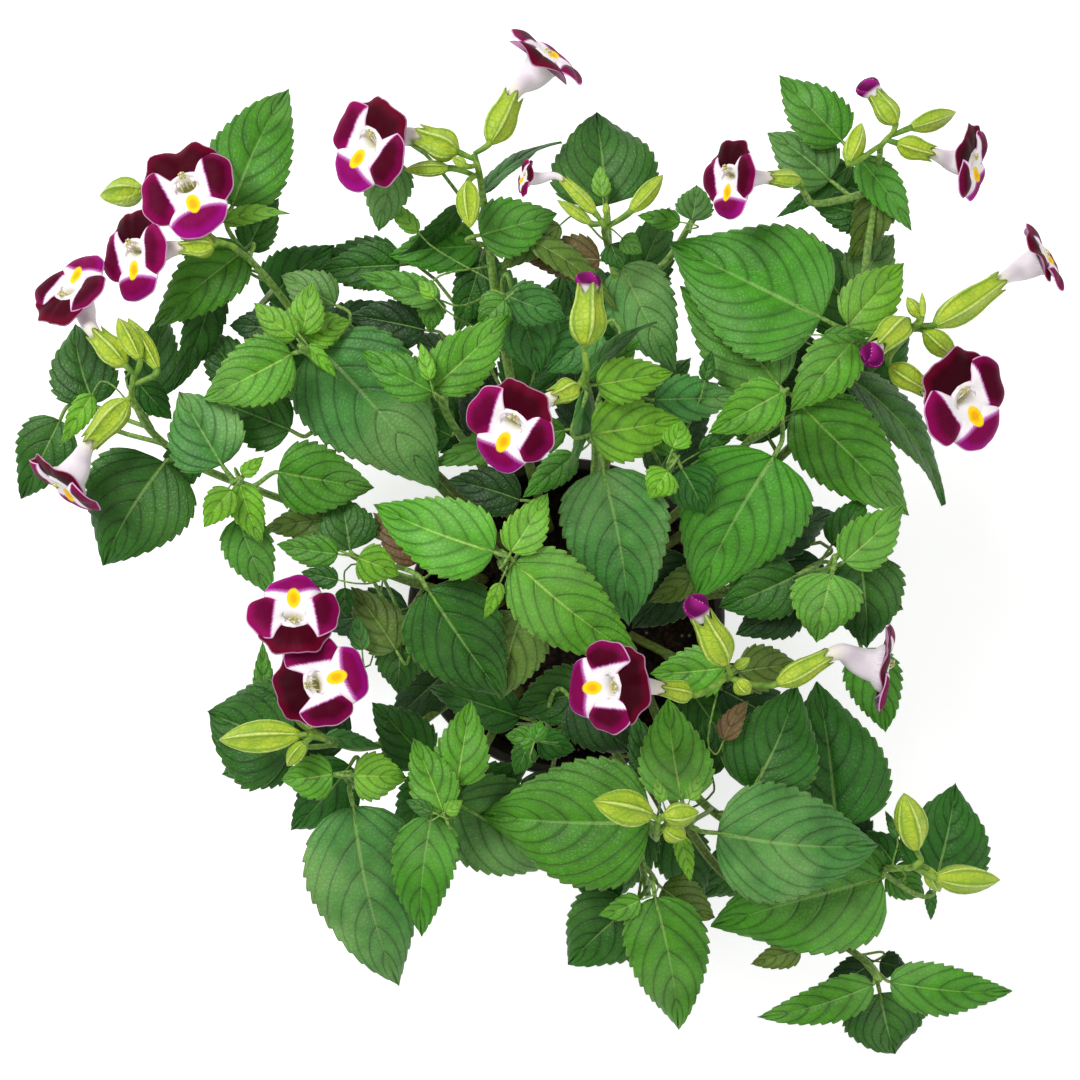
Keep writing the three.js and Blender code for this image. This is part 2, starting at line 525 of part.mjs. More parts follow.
function leafAxes(leaf) {
  const base = fromPhoto(leaf.base, leaf.height);
  const along = fromPhoto(leaf.tip, leaf.height - leaf.fall).sub(base);
  const flat = new THREE.Vector3(along.y, -along.x, 0).normalize();
  const rise = flat.clone().cross(along).normalize();
  const roll = THREE.MathUtils.degToRad(leaf.roll);
  const side = flat.clone().multiplyScalar(Math.cos(roll)).addScaledVector(rise, Math.sin(roll));
  const normal = rise.multiplyScalar(Math.cos(roll)).addScaledVector(flat, -Math.sin(roll));
  return { base, along, side, normal, length: along.length() };
}

function bladePoint(leaf, axes, u, s, level = 0) {
  const across = (s * leaf.width * bladeProfile(u)) / 2;
  const lift = leafFold * Math.abs(across) + leafArch * axes.length * 4 * u * (1 - u) + level;
  return axes.base.clone()
    .addScaledVector(axes.along, u)
    .addScaledVector(axes.side, across)
    .addScaledVector(axes.normal, lift);
}

function teethOn(length) {
  if (length > 48) return 5;
  if (length > 38) return 4;
  if (length > 24) return 3;
  return 2;
}

// Fills between two chains of points that run from base to tip, whichever is behind stepping first
function strip(rim, midrib, flipped, faces) {
  let r = 0;
  let m = 0;
  while (r < rim.length - 1 || m < midrib.length - 1) {
    const rimSteps = m === midrib.length - 1 || (r < rim.length - 1 && rim[r + 1].u <= midrib[m + 1].u);
    const face = rimSteps ? [rim[r].id, rim[r + 1].id, midrib[m].id] : [rim[r].id, midrib[m + 1].id, midrib[m].id];
    if (new Set(face).size === 3) faces.push(flipped ? face.reverse() : face);
    if (rimSteps) r += 1;
    else m += 1;
  }
}

// The petiole's path from a point in the stem: place, direction and thickness at each of its rings.
// Long ones, and any that would double back, come round to the blade from behind.
function petiolePath(root, base, along) {
  const direct = base.clone().sub(root);
  const reach = direct.length();
  direct.normalize();
  const leaving = (way) => [root.clone().addScaledVector(way, Math.min(petioleFoot, reach / 2)), way, 1];
  if (reach < petioleBend && direct.dot(along) > 0.2) return [[root, direct, 0], leaving(direct), [base, along, 1]];
  const behind = Math.min(0.4 * reach + 1.5, petioleBend * 0.5);
  const bend = base.clone().addScaledVector(along, -behind).addScaledVector(up, -0.25 * behind);
  const first = bend.clone().sub(root).normalize();
  const second = base.clone().sub(bend).normalize();
  const turning = [bend, first.clone().add(second).normalize(), 1];
  return [[root, first, 0], leaving(first), turning, [base, along, 1]];
}

// Rings of three corners, right, under and left, carried back from the blade without twisting
function petioleRings(path, side) {
  const rings = [];
  let right = side.clone();
  for (let i = path.length - 1; i >= 0; i -= 1) {
    const [place, direction, thickness] = path[i];
    if (i < path.length - 1) {
      right.applyQuaternion(new THREE.Quaternion().setFromUnitVectors(path[i + 1][1], direction));
    }
    right = right.clone().addScaledVector(direction, -right.dot(direction)).normalize();
    const under = direction.clone().cross(right);
    rings.unshift([
      place.clone().addScaledVector(right, petioleRadius * thickness),
      place.clone().addScaledVector(under, petioleDepth * thickness),
      place.clone().addScaledVector(right, -petioleRadius * thickness),
    ]);
  }
  return rings;
}

// One skin round petiole and blade. Tooth tips are shared by both faces, so the blade thins to its teeth.
function leafSolid(leaf, root) {
  const axes = leafAxes(leaf);
  const rings = petioleRings(petiolePath(root, axes.base, axes.along.clone().normalize()), axes.side);
  const points = rings.flat();
  const faces = [[0, 2, 1]];
  for (let r = 0; r < rings.length - 1; r += 1) {
    for (let i = 0; i < 3; i += 1) {
      const a = 3 * r + i;
      const b = 3 * r + ((i + 1) % 3);
      faces.push([a, b, b + 3], [a, b + 3, a + 3]);
    }
  }
  const [right, under, left] = [points.length - 3, points.length - 2, points.length - 1];
  const put = (u, s, level) => points.push(bladePoint(leaf, axes, u, s, level)) - 1;
  const thick = (u, s) => ({ u, top: put(u, s, leafThickness / 2), under: put(u, s, -leafThickness / 2) });
  const thin = (u, s) => {
    const corner = put(u, s, 0);
    return { u, top: corner, under: corner };
  };
  const end = thin(1, 0);
  const teeth = teethOn(axes.length);
  const ribs = (teeth > 2 ? [0.3, 0.65] : [0.45]).map((u) => thick(u, 0)).concat([end]);
  faces.push([left, right, ribs[0].top]);
  const pitch = toothedSpan / teeth;
  for (const way of [-1, 1]) {
    const corner = way > 0 ? right : left;
    const rim = [{ u: 0, top: corner, under: corner }];
    for (let i = 0; i < teeth; i += 1) {
      rim.push(thin(firstTooth + pitch * i, way * toothReach));
      if (i < teeth - 1) rim.push(thick(firstTooth + pitch * (i + notchPlace), way * notchReach));
    }
    rim.push(end);
    const face = (chain, key) => chain.map((spot) => ({ u: spot.u, id: spot[key] }));
    strip(face(rim, "top"), [{ u: 0, id: corner }, ...face(ribs, "top")], way < 0, faces);
    strip(face(rim, "under"), [{ u: 0, id: under }, ...face(ribs, "under")], way > 0, faces);
    for (let i = 0; i < rim.length - 1; i += 1) {
      const [a, b] = way > 0 ? [rim[i], rim[i + 1]] : [rim[i + 1], rim[i]];
      for (const wall of [[a.under, b.under, b.top], [a.under, b.top, a.top]]) {
        if (new Set(wall).size === 3) faces.push(wall);
      }
    }
  }
  return toSolid(closedGeometry(points, faces));
}

// Racemes, worked out before the leaves because the leaves lie below them
function calyxAxis(calyx) {
  const base = onDome(calyx.base, calyx.rise);
  const tip = onDome(calyx.tip, calyx.rise + (calyx.flower || calyx.bud ? 2 : 0));
  return { base, tip, along: tip.clone().sub(base).normalize() };
}

// A keeled calyx and its pedicel in one skin, from the raceme's axis to the mouth or the closed point
function calyxBody(calyx, pedicelRoot) {
  const { base, tip, along } = calyxAxis(calyx);
  const open = Boolean(calyx.flower || calyx.bud);
  const keels = calyx.width > fiveKeelWidth ? 5 : 3;
  const sideways = along.clone().cross(up).normalize();
  const upwards = along.clone().cross(sideways);
  const half = calyx.width / 2;
  const keeled = (radius, depth) => Array.from({ length: 2 * keels }, (_, i) => radius * (i % 2 ? depth : 1));
  const at = (t, radius) => ring(base.clone().lerp(tip, t), sideways, upwards, keeled(radius, keelDepth));
  const pedicel = base.clone().sub(pedicelRoot).normalize();
  const turn = new THREE.Quaternion().setFromUnitVectors(along, pedicel);
  const footSideways = sideways.clone().applyQuaternion(turn);
  const footUpwards = upwards.clone().applyQuaternion(turn);
  const foot = ring(pedicelRoot, footSideways, footUpwards, keeled(pedicelRadius, 0.9));
  const neck = Math.min(calyxFootRadius, half * 0.5);
  return loft([foot, at(0, neck), at(calyxWaist, half), at(1, open ? half * calyxMouth : 0)]);
}

function corollaPlan(calyx) {
  const { tip, along } = calyxAxis(calyx);
  const root = tip.clone().addScaledVector(along, seatGap);
  const open = calyx.flower;
  const face = onDome(open.face, open.rise);
  const toward = new THREE.Vector3(face.x - root.x, face.y - root.y, 0).normalize();
  const lean = THREE.MathUtils.degToRad(open.lean);
  const normal = up.clone().multiplyScalar(Math.cos(lean)).addScaledVector(toward, Math.sin(lean));
  const lip = new THREE.Vector3(...open.lip);
  lip.addScaledVector(normal, -lip.dot(normal)).normalize();
  const across = lip.clone().cross(normal);
  return { root, along, face, normal, lip, across, size: open.size ?? 1 };
}

// Four lobes: right 0 degrees, upper lip 90, left 180 and lower 270, with a notch between each two
function lobeOutline(size) {
  return Array.from({ length: 16 }, (_, i) => {
    const lobe = Math.floor(((i + 2) % 16) / 4);
    const place = (i + 2) % 4;
    const angle = THREE.MathUtils.degToRad(90 * lobe + lobeTurns[place]);
    return { angle, reach: lobeReach[lobe] * lobeShares[place] * size, place };
  });
}

function tubeCurve(plan) {
  const { root, along, face, normal, size } = plan;
  const waist = face.clone().addScaledVector(normal, -tubeWaistDepth * size);
  const span = root.distanceTo(waist);
  return new THREE.CubicBezierCurve3(
    root,
    root.clone().addScaledVector(along, tubePull * span),
    waist.clone().addScaledVector(normal, -tubePull * span),
    waist,
  );
}

function corollaBody(plan) {
  const { face, normal, lip, across, size } = plan;
  const outline = lobeOutline(size);
  const curve = tubeCurve(plan);
  const tubeRing = (t, radius) => {
    const swing = new THREE.Quaternion().setFromUnitVectors(normal, curve.getTangent(t));
    const right = across.clone().applyQuaternion(swing);
    const top = lip.clone().applyQuaternion(swing);
    return outline.map(({ angle }) => curve.getPoint(t).clone()
      .addScaledVector(right, radius * Math.cos(angle))
      .addScaledVector(top, radius * Math.sin(angle)));
  };
  const throatRing = (radius) => outline.map(({ angle }) => face.clone()
    .addScaledVector(across, radius * size * Math.cos(angle))
    .addScaledVector(lip, radius * size * Math.sin(angle))
    .addScaledVector(normal, -throatDepth * size));
  const margin = (level) => outline.map(({ angle, reach, place }) => {
    const edge = place === 1 || place === 3 ? 0 : level;
    return face.clone()
      .addScaledVector(across, reach * Math.cos(angle))
      .addScaledVector(lip, reach * Math.sin(angle))
      .addScaledVector(normal, edge + (place === 0 ? -notchDrop : lobeRise));
  });
  const half = petalThickness / 2;
  return loft([
    tubeRing(0, tubeRadius * size),
    tubeRing(0.5, tubeMiddleRadius * size),
    tubeRing(1, tubeWaistRadius * size),
    throatRing(throatRadius),
    margin(-half),
    margin(half),
    throatRing(throatHollow),
  ]);
}

function budBody(calyx) {
  const { tip, along } = calyxAxis(calyx);
  const root = tip.clone().addScaledVector(along, seatGap);
  const end = onDome(calyx.bud.tip, calyx.bud.rise);
  const sideways = along.clone().cross(up).normalize();
  const upwards = along.clone().cross(sideways);
  const at = (t, radius) => ring(root.clone().lerp(end, t), sideways, upwards, Array(8).fill(radius));
  return loft(budRings.map(([t, radius]) => at(t, radius)));
}

// Beads stand for what the leaves pass under: racemes, calyces and corollas
const beads = [];
function addBead(point, radius) {
  beads.push({ at: toPhoto(point), height: point.z, radius });
}

function beadsAlong(from, to, radius, spacing) {
  const count = Math.max(1, Math.ceil(from.distanceTo(to) / spacing));
  for (let i = 0; i <= count; i += 1) addBead(from.clone().lerp(to, i / count), radius);
}

function beadCorolla(plan) {
  const { face, lip, across, normal, size } = plan;
  const curve = tubeCurve(plan);
  for (const t of [0.1, 0.4, 0.7, 1]) addBead(curve.getPoint(t), (2.4 + 2.6 * t) * size);
  addBead(face.clone().addScaledVector(normal, -1.2 * throatDepth * size), throatRadius * size);
  for (let i = 0; i < 12; i += 1) {
    for (const reach of [0.5, 0.95]) {
      const angle = (Math.PI * i) / 6;
      addBead(face.clone()
        .addScaledVector(across, faceRadius * size * reach * Math.cos(angle))
        .addScaledVector(lip, faceRadius * size * reach * Math.sin(angle))
        .addScaledVector(normal, -0.5), 1.2);
    }
  }
}

// Settling: a leaf is taken down until it clears every bead and every leaf settled before it
function seenHalfWidth(leaf, u) {
  const pxPerMm = photoFocal / (cameraHeight - leaf.height);
  return (Math.cos(THREE.MathUtils.degToRad(leaf.roll)) * leaf.width * bladeProfile(u) * pxPerMm) / 2;
}

function placeOnLeaf(leaf, [px, py], margin) {
  const ax = leaf.tip[0] - leaf.base[0];
  const ay = leaf.tip[1] - leaf.base[1];
  const length = Math.hypot(ax, ay);
  const u = ((px - leaf.base[0]) * ax + (py - leaf.base[1]) * ay) / (length * length);
  if (u < -margin / length || u > 1 + margin / length) return null;
  const inner = Math.min(0.99, Math.max(0.01, u));
  const off = ((px - leaf.base[0]) * -ay + (py - leaf.base[1]) * ax) / length;
  const half = seenHalfWidth(leaf, inner) + margin;
  return Math.abs(off) > half ? null : [inner, off / half];
}

function samplePlaces(leaf) {
  const ax = leaf.tip[0] - leaf.base[0];
  const ay = leaf.tip[1] - leaf.base[1];
  const length = Math.hypot(ax, ay);
  const places = [];
  for (const u of [0.02, 0.12, 0.25, 0.4, 0.55, 0.7, 0.85, 0.98]) {
    for (const s of [-1, -0.5, 0, 0.5, 1]) {
      const off = (s * seenHalfWidth(leaf, u)) / length;
      places.push({ u, s, at: [leaf.base[0] + ax * u - ay * off, leaf.base[1] + ay * u + ax * off] });
    }
  }
  return places;
}

function settle(leaf, upper) {
  const axes = leafAxes(leaf);
  const heightAt = (blade, bladeAxes, u, s) => bladePoint(blade, bladeAxes, u, s).z;
  const places = samplePlaces(leaf);
  let sink = 0;
  for (const bead of beads) {
    const reach = ((bead.radius + 1) * photoFocal) / (cameraHeight - bead.height);
    const ceiling = bead.height - bead.radius - beadClearance;
    const own = placeOnLeaf(leaf, bead.at, 1);
    if (own) sink = Math.max(sink, heightAt(leaf, axes, ...own) - ceiling);
    for (const { u, s, at } of places) {
      if (Math.hypot(at[0] - bead.at[0], at[1] - bead.at[1]) < reach) {
        sink = Math.max(sink, heightAt(leaf, axes, u, s) - ceiling);
      }
    }
  }
  for (const other of upper) {
    for (const { u, s, at } of places) {
      const there = placeOnLeaf(other.leaf, at, 2);
      if (!there) continue;
      const ceiling = heightAt(other.leaf, other.axes, ...there) - leafClearance;
      sink = Math.max(sink, heightAt(leaf, axes, u, s) - ceiling);
    }
    for (const { u, s, at } of other.places) {
      const own = placeOnLeaf(leaf, at, 2);
      if (!own) continue;
      const ceiling = heightAt(other.leaf, other.axes, u, s) - leafClearance;
      sink = Math.max(sink, heightAt(leaf, axes, ...own) - ceiling);
    }
  }
  leaf.height -= sink;
  upper.push({ leaf, axes: leafAxes(leaf), places: samplePlaces(leaf) });
}

// Stems
function stemCurves(stem) {
  const [angle, distance] = stem.root;
  const turn = THREE.MathUtils.degToRad(angle);
  const foot = new THREE.Vector3(distance * Math.cos(turn), distance * Math.sin(turn), holeFloor + seatGap);
  const curves = stem.paths.map((path, i) => {
    const points = path.map(([px, py, height]) => fromPhoto([px, py], height));
    if (i === 0) {
      const middle = foot.clone().setZ(soilLevel - 6);
      const collar = foot.clone().setZ(soilLevel + soilCrown + 3);
      points.unshift(foot, middle, collar);
    }
    return curveThrough(points);
  });
  return { foot, curves };
}

// Where a stem's rings stand: at the points of its path, and halfway where these lie far apart
function stemStations(curve) {
  const last = curve.points.length - 1;
  const stations = [0];
  for (let i = 1; i <= last; i += 1) {
    const span = curve.points[i].distanceTo(curve.points[i - 1]);
    if (span > longSpan) stations.push((i - 0.5) / last);
    stations.push(i / last);
  }
  return stations;
}

function stemTubes(curves) {
  return curves.map((curve, i) => {
    const start = i === 0 ? stemRadius : stemTipRadius * 1.25;
    return taperedTube(curve, start, stemTipRadius, stemSides, stemStations(curve));
  });
}

// Places on the straight stretches between corners, clear of the corners
function placesAlong(corners, spacing) {
  const places = [];
  for (let i = 0; i < corners.length - 1; i += 1) {
    const span = corners[i].distanceTo(corners[i + 1]);
    for (let far = spacing / 2; far < span - spacing / 2; far += spacing) {
      places.push(corners[i].clone().lerp(corners[i + 1], far / span));
    }
  }
  return places;
}

// Where petioles can start: all along the stem above the soil
function petiolePlaces(curves) {
  const cornersOf = (curve) => stemStations(curve).map((along) => curve.getPoint(along));
  const places = curves.flatMap((curve) => placesAlong(cornersOf(curve), petioleSpacing));
  return places.filter((place) => place.z > lowestNode);
}

// Takes the place nearest to a leaf's base out of those still free on its stem
function claimPlace(places, point) {
  const cost = (place) => {
    const flat = Math.hypot(place.x - point.x, place.y - point.y);
    const above = place.z - point.z;
    return flat + 0.6 * Math.abs(above) + (above > petioleDroop ? 20 : 0);
  };
  const best = places.reduce((a, b) => (cost(b) < cost(a) ? b : a));
  if (places.length > 1) places.splice(places.indexOf(best), 1);
  return best;
}

function leafyStem(name, leaves) {
  const { curves } = stemCurves(stems[name]);
  const places = petiolePlaces(curves);
  const pieces = stemTubes(curves);
  for (const leaf of leaves) {
    if (leaf.stem !== name) continue;
    const root = claimPlace(places, fromPhoto(leaf.base, leaf.height));
    pieces.push(leafSolid(leaf, root));
  }
  return fuse(pieces);
}

function racemeStart(raceme) {
  const [stemName, path] = raceme.stem;
  const curve = stemCurves(stems[stemName]).curves[path];
  const tangent = curve.getTangent(1);
  return { joint: curve.getPoint(1).addScaledVector(tangent, seatGap + 0.05), tangent };
}

function racemeAxis(raceme) {
  const { joint, tangent } = racemeStart(raceme);
  const points = raceme.axis.map(([px, py, rise]) => onDome([px, py], rise));
  return curveThrough([joint, joint.clone().addScaledVector(tangent, 1.5), ...points]);
}

// Where the pedicels start: each takes the nearest free place along the raceme's axis
function pedicelRoots(raceme) {
  const corners = racemeAxis(raceme).points.slice(1);
  const places = placesAlong(corners, pedicelSpacing);
  places.push(corners[corners.length - 1]);
  return raceme.calyces.map((calyx) => claimPlace(places, calyxAxis(calyx).base));
}

function racemeBody(raceme) {
  const axis = racemeAxis(raceme);
  const last = axis.points.length - 1;
  const roots = pedicelRoots(raceme);
  const pieces = [taperedTube(axis, racemeRadius, 1, stemSides, axis.points.map((_, i) => i / last))];
  raceme.calyces.forEach((calyx, i) => pieces.push(calyxBody(calyx, roots[i])));
  return fuse(pieces);
}

function beadRaceme(raceme) {
  const axis = racemeAxis(raceme);
  const roots = pedicelRoots(raceme);
  for (let i = 0; i <= 6; i += 1) addBead(axis.getPoint(i / 6), racemeRadius);
  for (const [i, calyx] of raceme.calyces.entries()) {
    const { base, tip, along } = calyxAxis(calyx);
    beadsAlong(roots[i], base, pedicelRadius, 4);
    beadsAlong(base.addScaledVector(along, calyx.width * 0.3), tip, calyx.width * 0.46, 4);
    if (calyx.flower) beadCorolla(corollaPlan(calyx));
    if (calyx.bud) beadsAlong(tip, onDome(calyx.bud.tip, calyx.bud.rise), 4, 3);
  }
}

// Pot and soil
function turned(profile, sides) {
  const lathe = new THREE.LatheGeometry(profile.map(([r, z]) => new THREE.Vector2(r, z)), sides);
  lathe.rotateX(Math.PI / 2);
  return toSolid(lathe);
}

function uprightCylinder(x, y, low, high, radius, sides) {
  const cylinder = new THREE.CylinderGeometry(radius, radius, high - low, sides);
  cylinder.rotateX(Math.PI / 2).translate(x, y, (low + high) / 2);
  return toSolid(cylinder);
}

function innerRadius(height) {
  const wallTop = rimRadius - rimStep;
  return baseRadius + ((wallTop - baseRadius) * height) / potHeight - potWall;
}

function potBody() {
  const bandFoot = potHeight - rimBand;
  const wallTop = rimRadius - rimStep;
  const outerAtBand = baseRadius + ((wallTop - baseRadius) * bandFoot) / potHeight;
  let body = turned([
    [0, 0],
    [baseRadius, 0],
    [outerAtBand, bandFoot],
    [rimRadius - 0.6, bandFoot],
    [rimRadius, potHeight - 0.8],
    [rimRadius - 0.8, potHeight],
    [innerRadius(potHeight), potHeight],
    [innerRadius(potWall), potWall],
    [0, potWall],
  ], potSides);
  for (let i = 0; i < drainCount; i += 1) {
    const angle = (2 * Math.PI * i) / drainCount;
    const drain = uprightCylinder(drainRing * Math.cos(angle), drainRing * Math.sin(angle), -1, potWall + 1, drainRadius, 8);
    body = body.subtract(drain);
  }
  return body;
}

function soilBody() {
  const clear = seatGap + 0.15;
  const floor = potWall + seatGap;
  let body = turned([
    [0, floor],
    [innerRadius(floor) - clear, floor],
    [innerRadius(soilLevel) - clear, soilLevel],
    [innerRadius(soilLevel) * 0.55, soilLevel + soilCrown * 0.8],
    [0, soilLevel + soilCrown],
  ], potSides);
  for (const stem of Object.values(stems)) {
    const { foot } = stemCurves(stem);
    body = body.subtract(uprightCylinder(foot.x, foot.y, holeFloor, potHeight, holeRadius, stemSides));
  }
  return body;
}

// Assembly
const plant = new THREE.Group();

function addNode(name, solid, color, roughness) {
  const material = new THREE.MeshStandardMaterial({ color, roughness, metalness: 0 });
  const mesh = new THREE.Mesh(toGeometry(solid), material);
  mesh.name = name;
  plant.add(mesh);
}

addNode("pot", potBody(), 0x231d1a, 0.45);
addNode("soil", soilBody(), 0x2a1d14, 0.95);

const racemeList = Object.entries(racemes);
for (const [, raceme] of racemeList) beadRaceme(raceme);

const leaves = leafRows.map(leafFromRow);
const settled = [];
for (const leaf of [...leaves].sort((a, b) => a.layer - b.layer)) settle(leaf, settled);

// A leafy stem's colour: that of its leaves, each counted by its width
function leafColour(name) {
  const sum = new THREE.Color(0);
  let total = 0;
  for (const { stem, tone, width } of leaves) {
    if (stem !== name) continue;
    sum.add(new THREE.Color(tones[tone]).multiplyScalar(width));
    total += width;
  }
  return sum.multiplyScalar(1 / total);
}

for (const name of Object.keys(stems)) addNode(`stem_${name}`, leafyStem(name, leaves), leafColour(name), 0.5);

for (const [name, raceme] of racemeList) {
  addNode(`raceme_${name}`, racemeBody(raceme), 0xb7cf3c, 0.5);
  raceme.calyces.forEach((calyx, i) => {
    if (calyx.flower) addNode(`corolla_${name}${i + 1}`, corollaBody(corollaPlan(calyx)), 0xa3127c, 0.45);
    if (calyx.bud) addNode(`corolla_${name}${i + 1}`, budBody(calyx), 0x8a0f5c, 0.45);
  });
}

export default plant;
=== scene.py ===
"""Potted wishbone flower: the finer leaves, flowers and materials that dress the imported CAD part.

The plant's tables and rules are those of the part's source: millimetres, +Z up, and places
read from the photo in its pixels. Meshes are scaled to metres when they become objects.
"""

import math
import random

import bpy
import numpy as np
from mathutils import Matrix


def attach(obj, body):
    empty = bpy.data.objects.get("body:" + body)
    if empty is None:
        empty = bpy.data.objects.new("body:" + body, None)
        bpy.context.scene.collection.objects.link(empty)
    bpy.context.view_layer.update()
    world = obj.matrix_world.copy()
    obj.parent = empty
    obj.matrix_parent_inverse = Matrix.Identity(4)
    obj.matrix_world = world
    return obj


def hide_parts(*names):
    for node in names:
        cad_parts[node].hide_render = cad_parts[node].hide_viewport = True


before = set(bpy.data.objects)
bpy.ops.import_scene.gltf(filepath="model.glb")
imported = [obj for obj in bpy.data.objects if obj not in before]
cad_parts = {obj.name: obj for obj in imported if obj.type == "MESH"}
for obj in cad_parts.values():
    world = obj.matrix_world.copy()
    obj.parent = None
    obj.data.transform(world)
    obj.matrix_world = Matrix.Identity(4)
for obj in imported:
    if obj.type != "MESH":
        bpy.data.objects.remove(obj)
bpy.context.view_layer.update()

# Pot and soil
POT_HEIGHT = 100
RIM_RADIUS = 60
RIM_BAND = 9
RIM_STEP = 2.2
BASE_RADIUS = 43
POT_WALL = 1.8
DRAIN_RADIUS = 4
DRAIN_RING = 29
DRAIN_COUNT = 5
SEAT_GAP = 0.3
SOIL_LEVEL = 86
SOIL_CROWN = 3
HOLE_FLOOR = 64

# How the photo was taken: a camera above the plant, looking straight down
CAMERA_HEIGHT = 800
PHOTO_FOCAL = 1860
PHOTO_SIZE = 1080
PHOTO_MIDDLE = 540
POT_CENTRE_PX = (566, 617)
SENSOR_WIDTH = 36

# Canopy: a shallow dome that the uppermost leaves lie in
DOME_TOP = 190
DOME_FALL = 42
DOME_REACH_PX = 520
DOME_CENTRE_PX = (555, 560)
LAYER_STEP = 8
LEAF_CLEARANCE = 2.9
BLADE_SAMPLES = ([0.02, 0.12, 0.25, 0.4, 0.55, 0.7, 0.85, 0.98], [-1, -0.5, 0, 0.5, 1])
BEAD_CLEARANCE = 1.6

# Plant parts
LEAF_THICKNESS = 0.5
LEAF_FOLD = 0.2
LEAF_ARCH = 0.07
STEM_RADIUS = 2.3
STEM_TIP_RADIUS = 1.1
LONG_SPAN = 34
LOWEST_NODE = 100
PETIOLE_DROOP = 7
PETIOLE_SPACING = 3.4
PETIOLE_RADIUS = 0.8
PETIOLE_BEND = 12
PETIOLE_FOOT = 3
RACEME_RADIUS = 1.1
PEDICEL_RADIUS = 0.8
PEDICEL_SPACING = 1.9

# Calyx, as shares of its length and half width
CALYX_KEELS = 5
CALYX_FOOT_RADIUS = 1.2
CALYX_FOOT = [(0, 0.24), (0.08, 0.5), (0.2, 0.82), (0.34, 0.97), (0.48, 1)]
CALYX_BELLY = CALYX_FOOT + [(0.64, 0.94), (0.8, 0.8), (1, 0.66)]
CALYX_CLOSED = CALYX_FOOT + [(0.66, 0.86), (0.84, 0.52), (0.95, 0.2), (1, 0.03)]

# Corolla at full size: its tube, the funnel of its throat and its four lobes
FACE_RADIUS = 15.5
TUBE_RADIUS = 2.1
TUBE_MIDDLE_RADIUS = 3.4
TUBE_WAIST_RADIUS = 5.6
TUBE_WAIST_DEPTH = 5.2
THROAT_RADIUS = 7.6
THROAT_DEPTH = 3.2
TUBE_PULL = 0.5
PETAL_THICKNESS = 0.5

# A rolled bud's radius at shares of its length
BUD_RINGS = [(0, 2.3), (0.15, 2.9), (0.35, 4), (0.6, 4.5), (0.8, 4.1), (0.92, 2.9), (1, 1.2)]

# Leaf colours, from young growth to dead leaves; dark and darkest are leaves seen in shadow, with that shade
# painted into their colour
TONES = {
    "young": 0x66A220,
    "bright": 0x50941C,
    "mid": 0x408016,
    "blue": 0x3E7C32,
    "dark": 0x265E10,
    "darkest": 0x183E10,
    "olive": 0x546E24,
    "dull": 0x487430,
    "brown": 0x6A5030,
}

# Leafy stems. root: angle in degrees and distance in mm from the pot's centre, in the soil.
# paths: points [x px, y px, height mm]; the first path leaves the soil, the others branch off it.
STEMS = {
    "nw": {"root": [131, 34], "paths": [
        [[455, 492, 114], [350, 390, 128], [288, 305, 141], [252, 262, 154], [236, 249, 162]]]},
    "s1": {"root": [142, 22], "paths": [
        [[470, 520, 118], [395, 440, 136], [330, 375, 154], [300, 345, 178]]]},
    "w": {"root": [156, 35], "paths": [
        [[440, 560, 112], [340, 520, 128], [262, 492, 146], [232, 482, 166]],
        [[262, 492, 146], [190, 462, 142], [150, 430, 146], [134, 402, 158]]]},
    "n": {"root": [101, 35], "paths": [
        [[528, 460, 118], [505, 350, 140], [492, 270, 154], [484, 205, 162], [481, 184, 168]]]},
    "n2": {"root": [82, 36], "paths": [
        [[600, 480, 116], [628, 370, 134], [618, 290, 148], [608, 245, 160], [605, 234, 168]],
        [[618, 290, 148], [664, 264, 136], [694, 218, 147]]]},
    "s2": {"root": [119, 25], "paths": [
        [[490, 480, 124], [450, 420, 152], [434, 384, 178]]]},
    "s3": {"root": [138, 9], "paths": [
        [[520, 585, 130], [504, 568, 160], [500, 562, 186]]]},
    "s4": {"root": [168, 26], "paths": [
        [[440, 590, 116], [390, 575, 140], [352, 555, 172]]]},
    "s5": {"root": [86, 22], "paths": [
        [[588, 520, 122], [596, 450, 150], [590, 400, 170], [586, 382, 184]]]},
    "s6": {"root": [58, 19], "paths": [
        [[625, 540, 124], [660, 485, 154], [674, 461, 178]]]},
    "s7": {"root": [47, 31], "paths": [
        [[680, 510, 116], [750, 440, 142], [780, 404, 164], [782, 390, 178]]]},
    "ne": {"root": [36, 37], "paths": [
        [[730, 500, 112], [815, 420, 128], [856, 345, 142],
         [866, 260, 138], [876, 190, 136], [880, 152, 148]],
        [[876, 190, 136], [840, 200, 144], [812, 203, 152], [805, 194, 158]],
        [[856, 345, 142], [884, 338, 150], [902, 332, 160]]]},
    "e": {"root": [10, 34], "paths": [
        [[700, 596, 114], [770, 585, 136], [820, 572, 156], [834, 568, 172]]]},
    "k": {"root": [-17, 27], "paths": [
        [[660, 650, 116], [705, 672, 144], [726, 678, 172]]]},
    "se": {"root": [-38, 36], "paths": [
        [[650, 700, 112], [700, 800, 126], [790, 850, 136], [870, 868, 140], [905, 868, 156]]]},
    "sse": {"root": [-52, 27], "paths": [
        [[640, 735, 112], [720, 870, 116], [820, 930, 124], [870, 965, 132], [880, 980, 140]]]},
    "s": {"root": [-69, 34], "paths": [
        [[600, 720, 114], [635, 790, 134], [652, 832, 156], [656, 838, 170]],
        [[635, 790, 134], [640, 850, 138], [648, 896, 146]],
        [[600, 720, 114], [560, 735, 130], [536, 740, 152]]]},
    "sw": {"root": [-122, 34], "paths": [
        [[500, 720, 116], [465, 780, 144], [441, 812, 168]]]},
    "swo": {"root": [-146, 35], "paths": [
        [[465, 690, 112], [400, 740, 126], [356, 782, 144], [344, 775, 160]],
        [[400, 740, 126], [360, 748, 138], [332, 742, 154]],
        [[356, 782, 144], [352, 800, 146]]]},
}

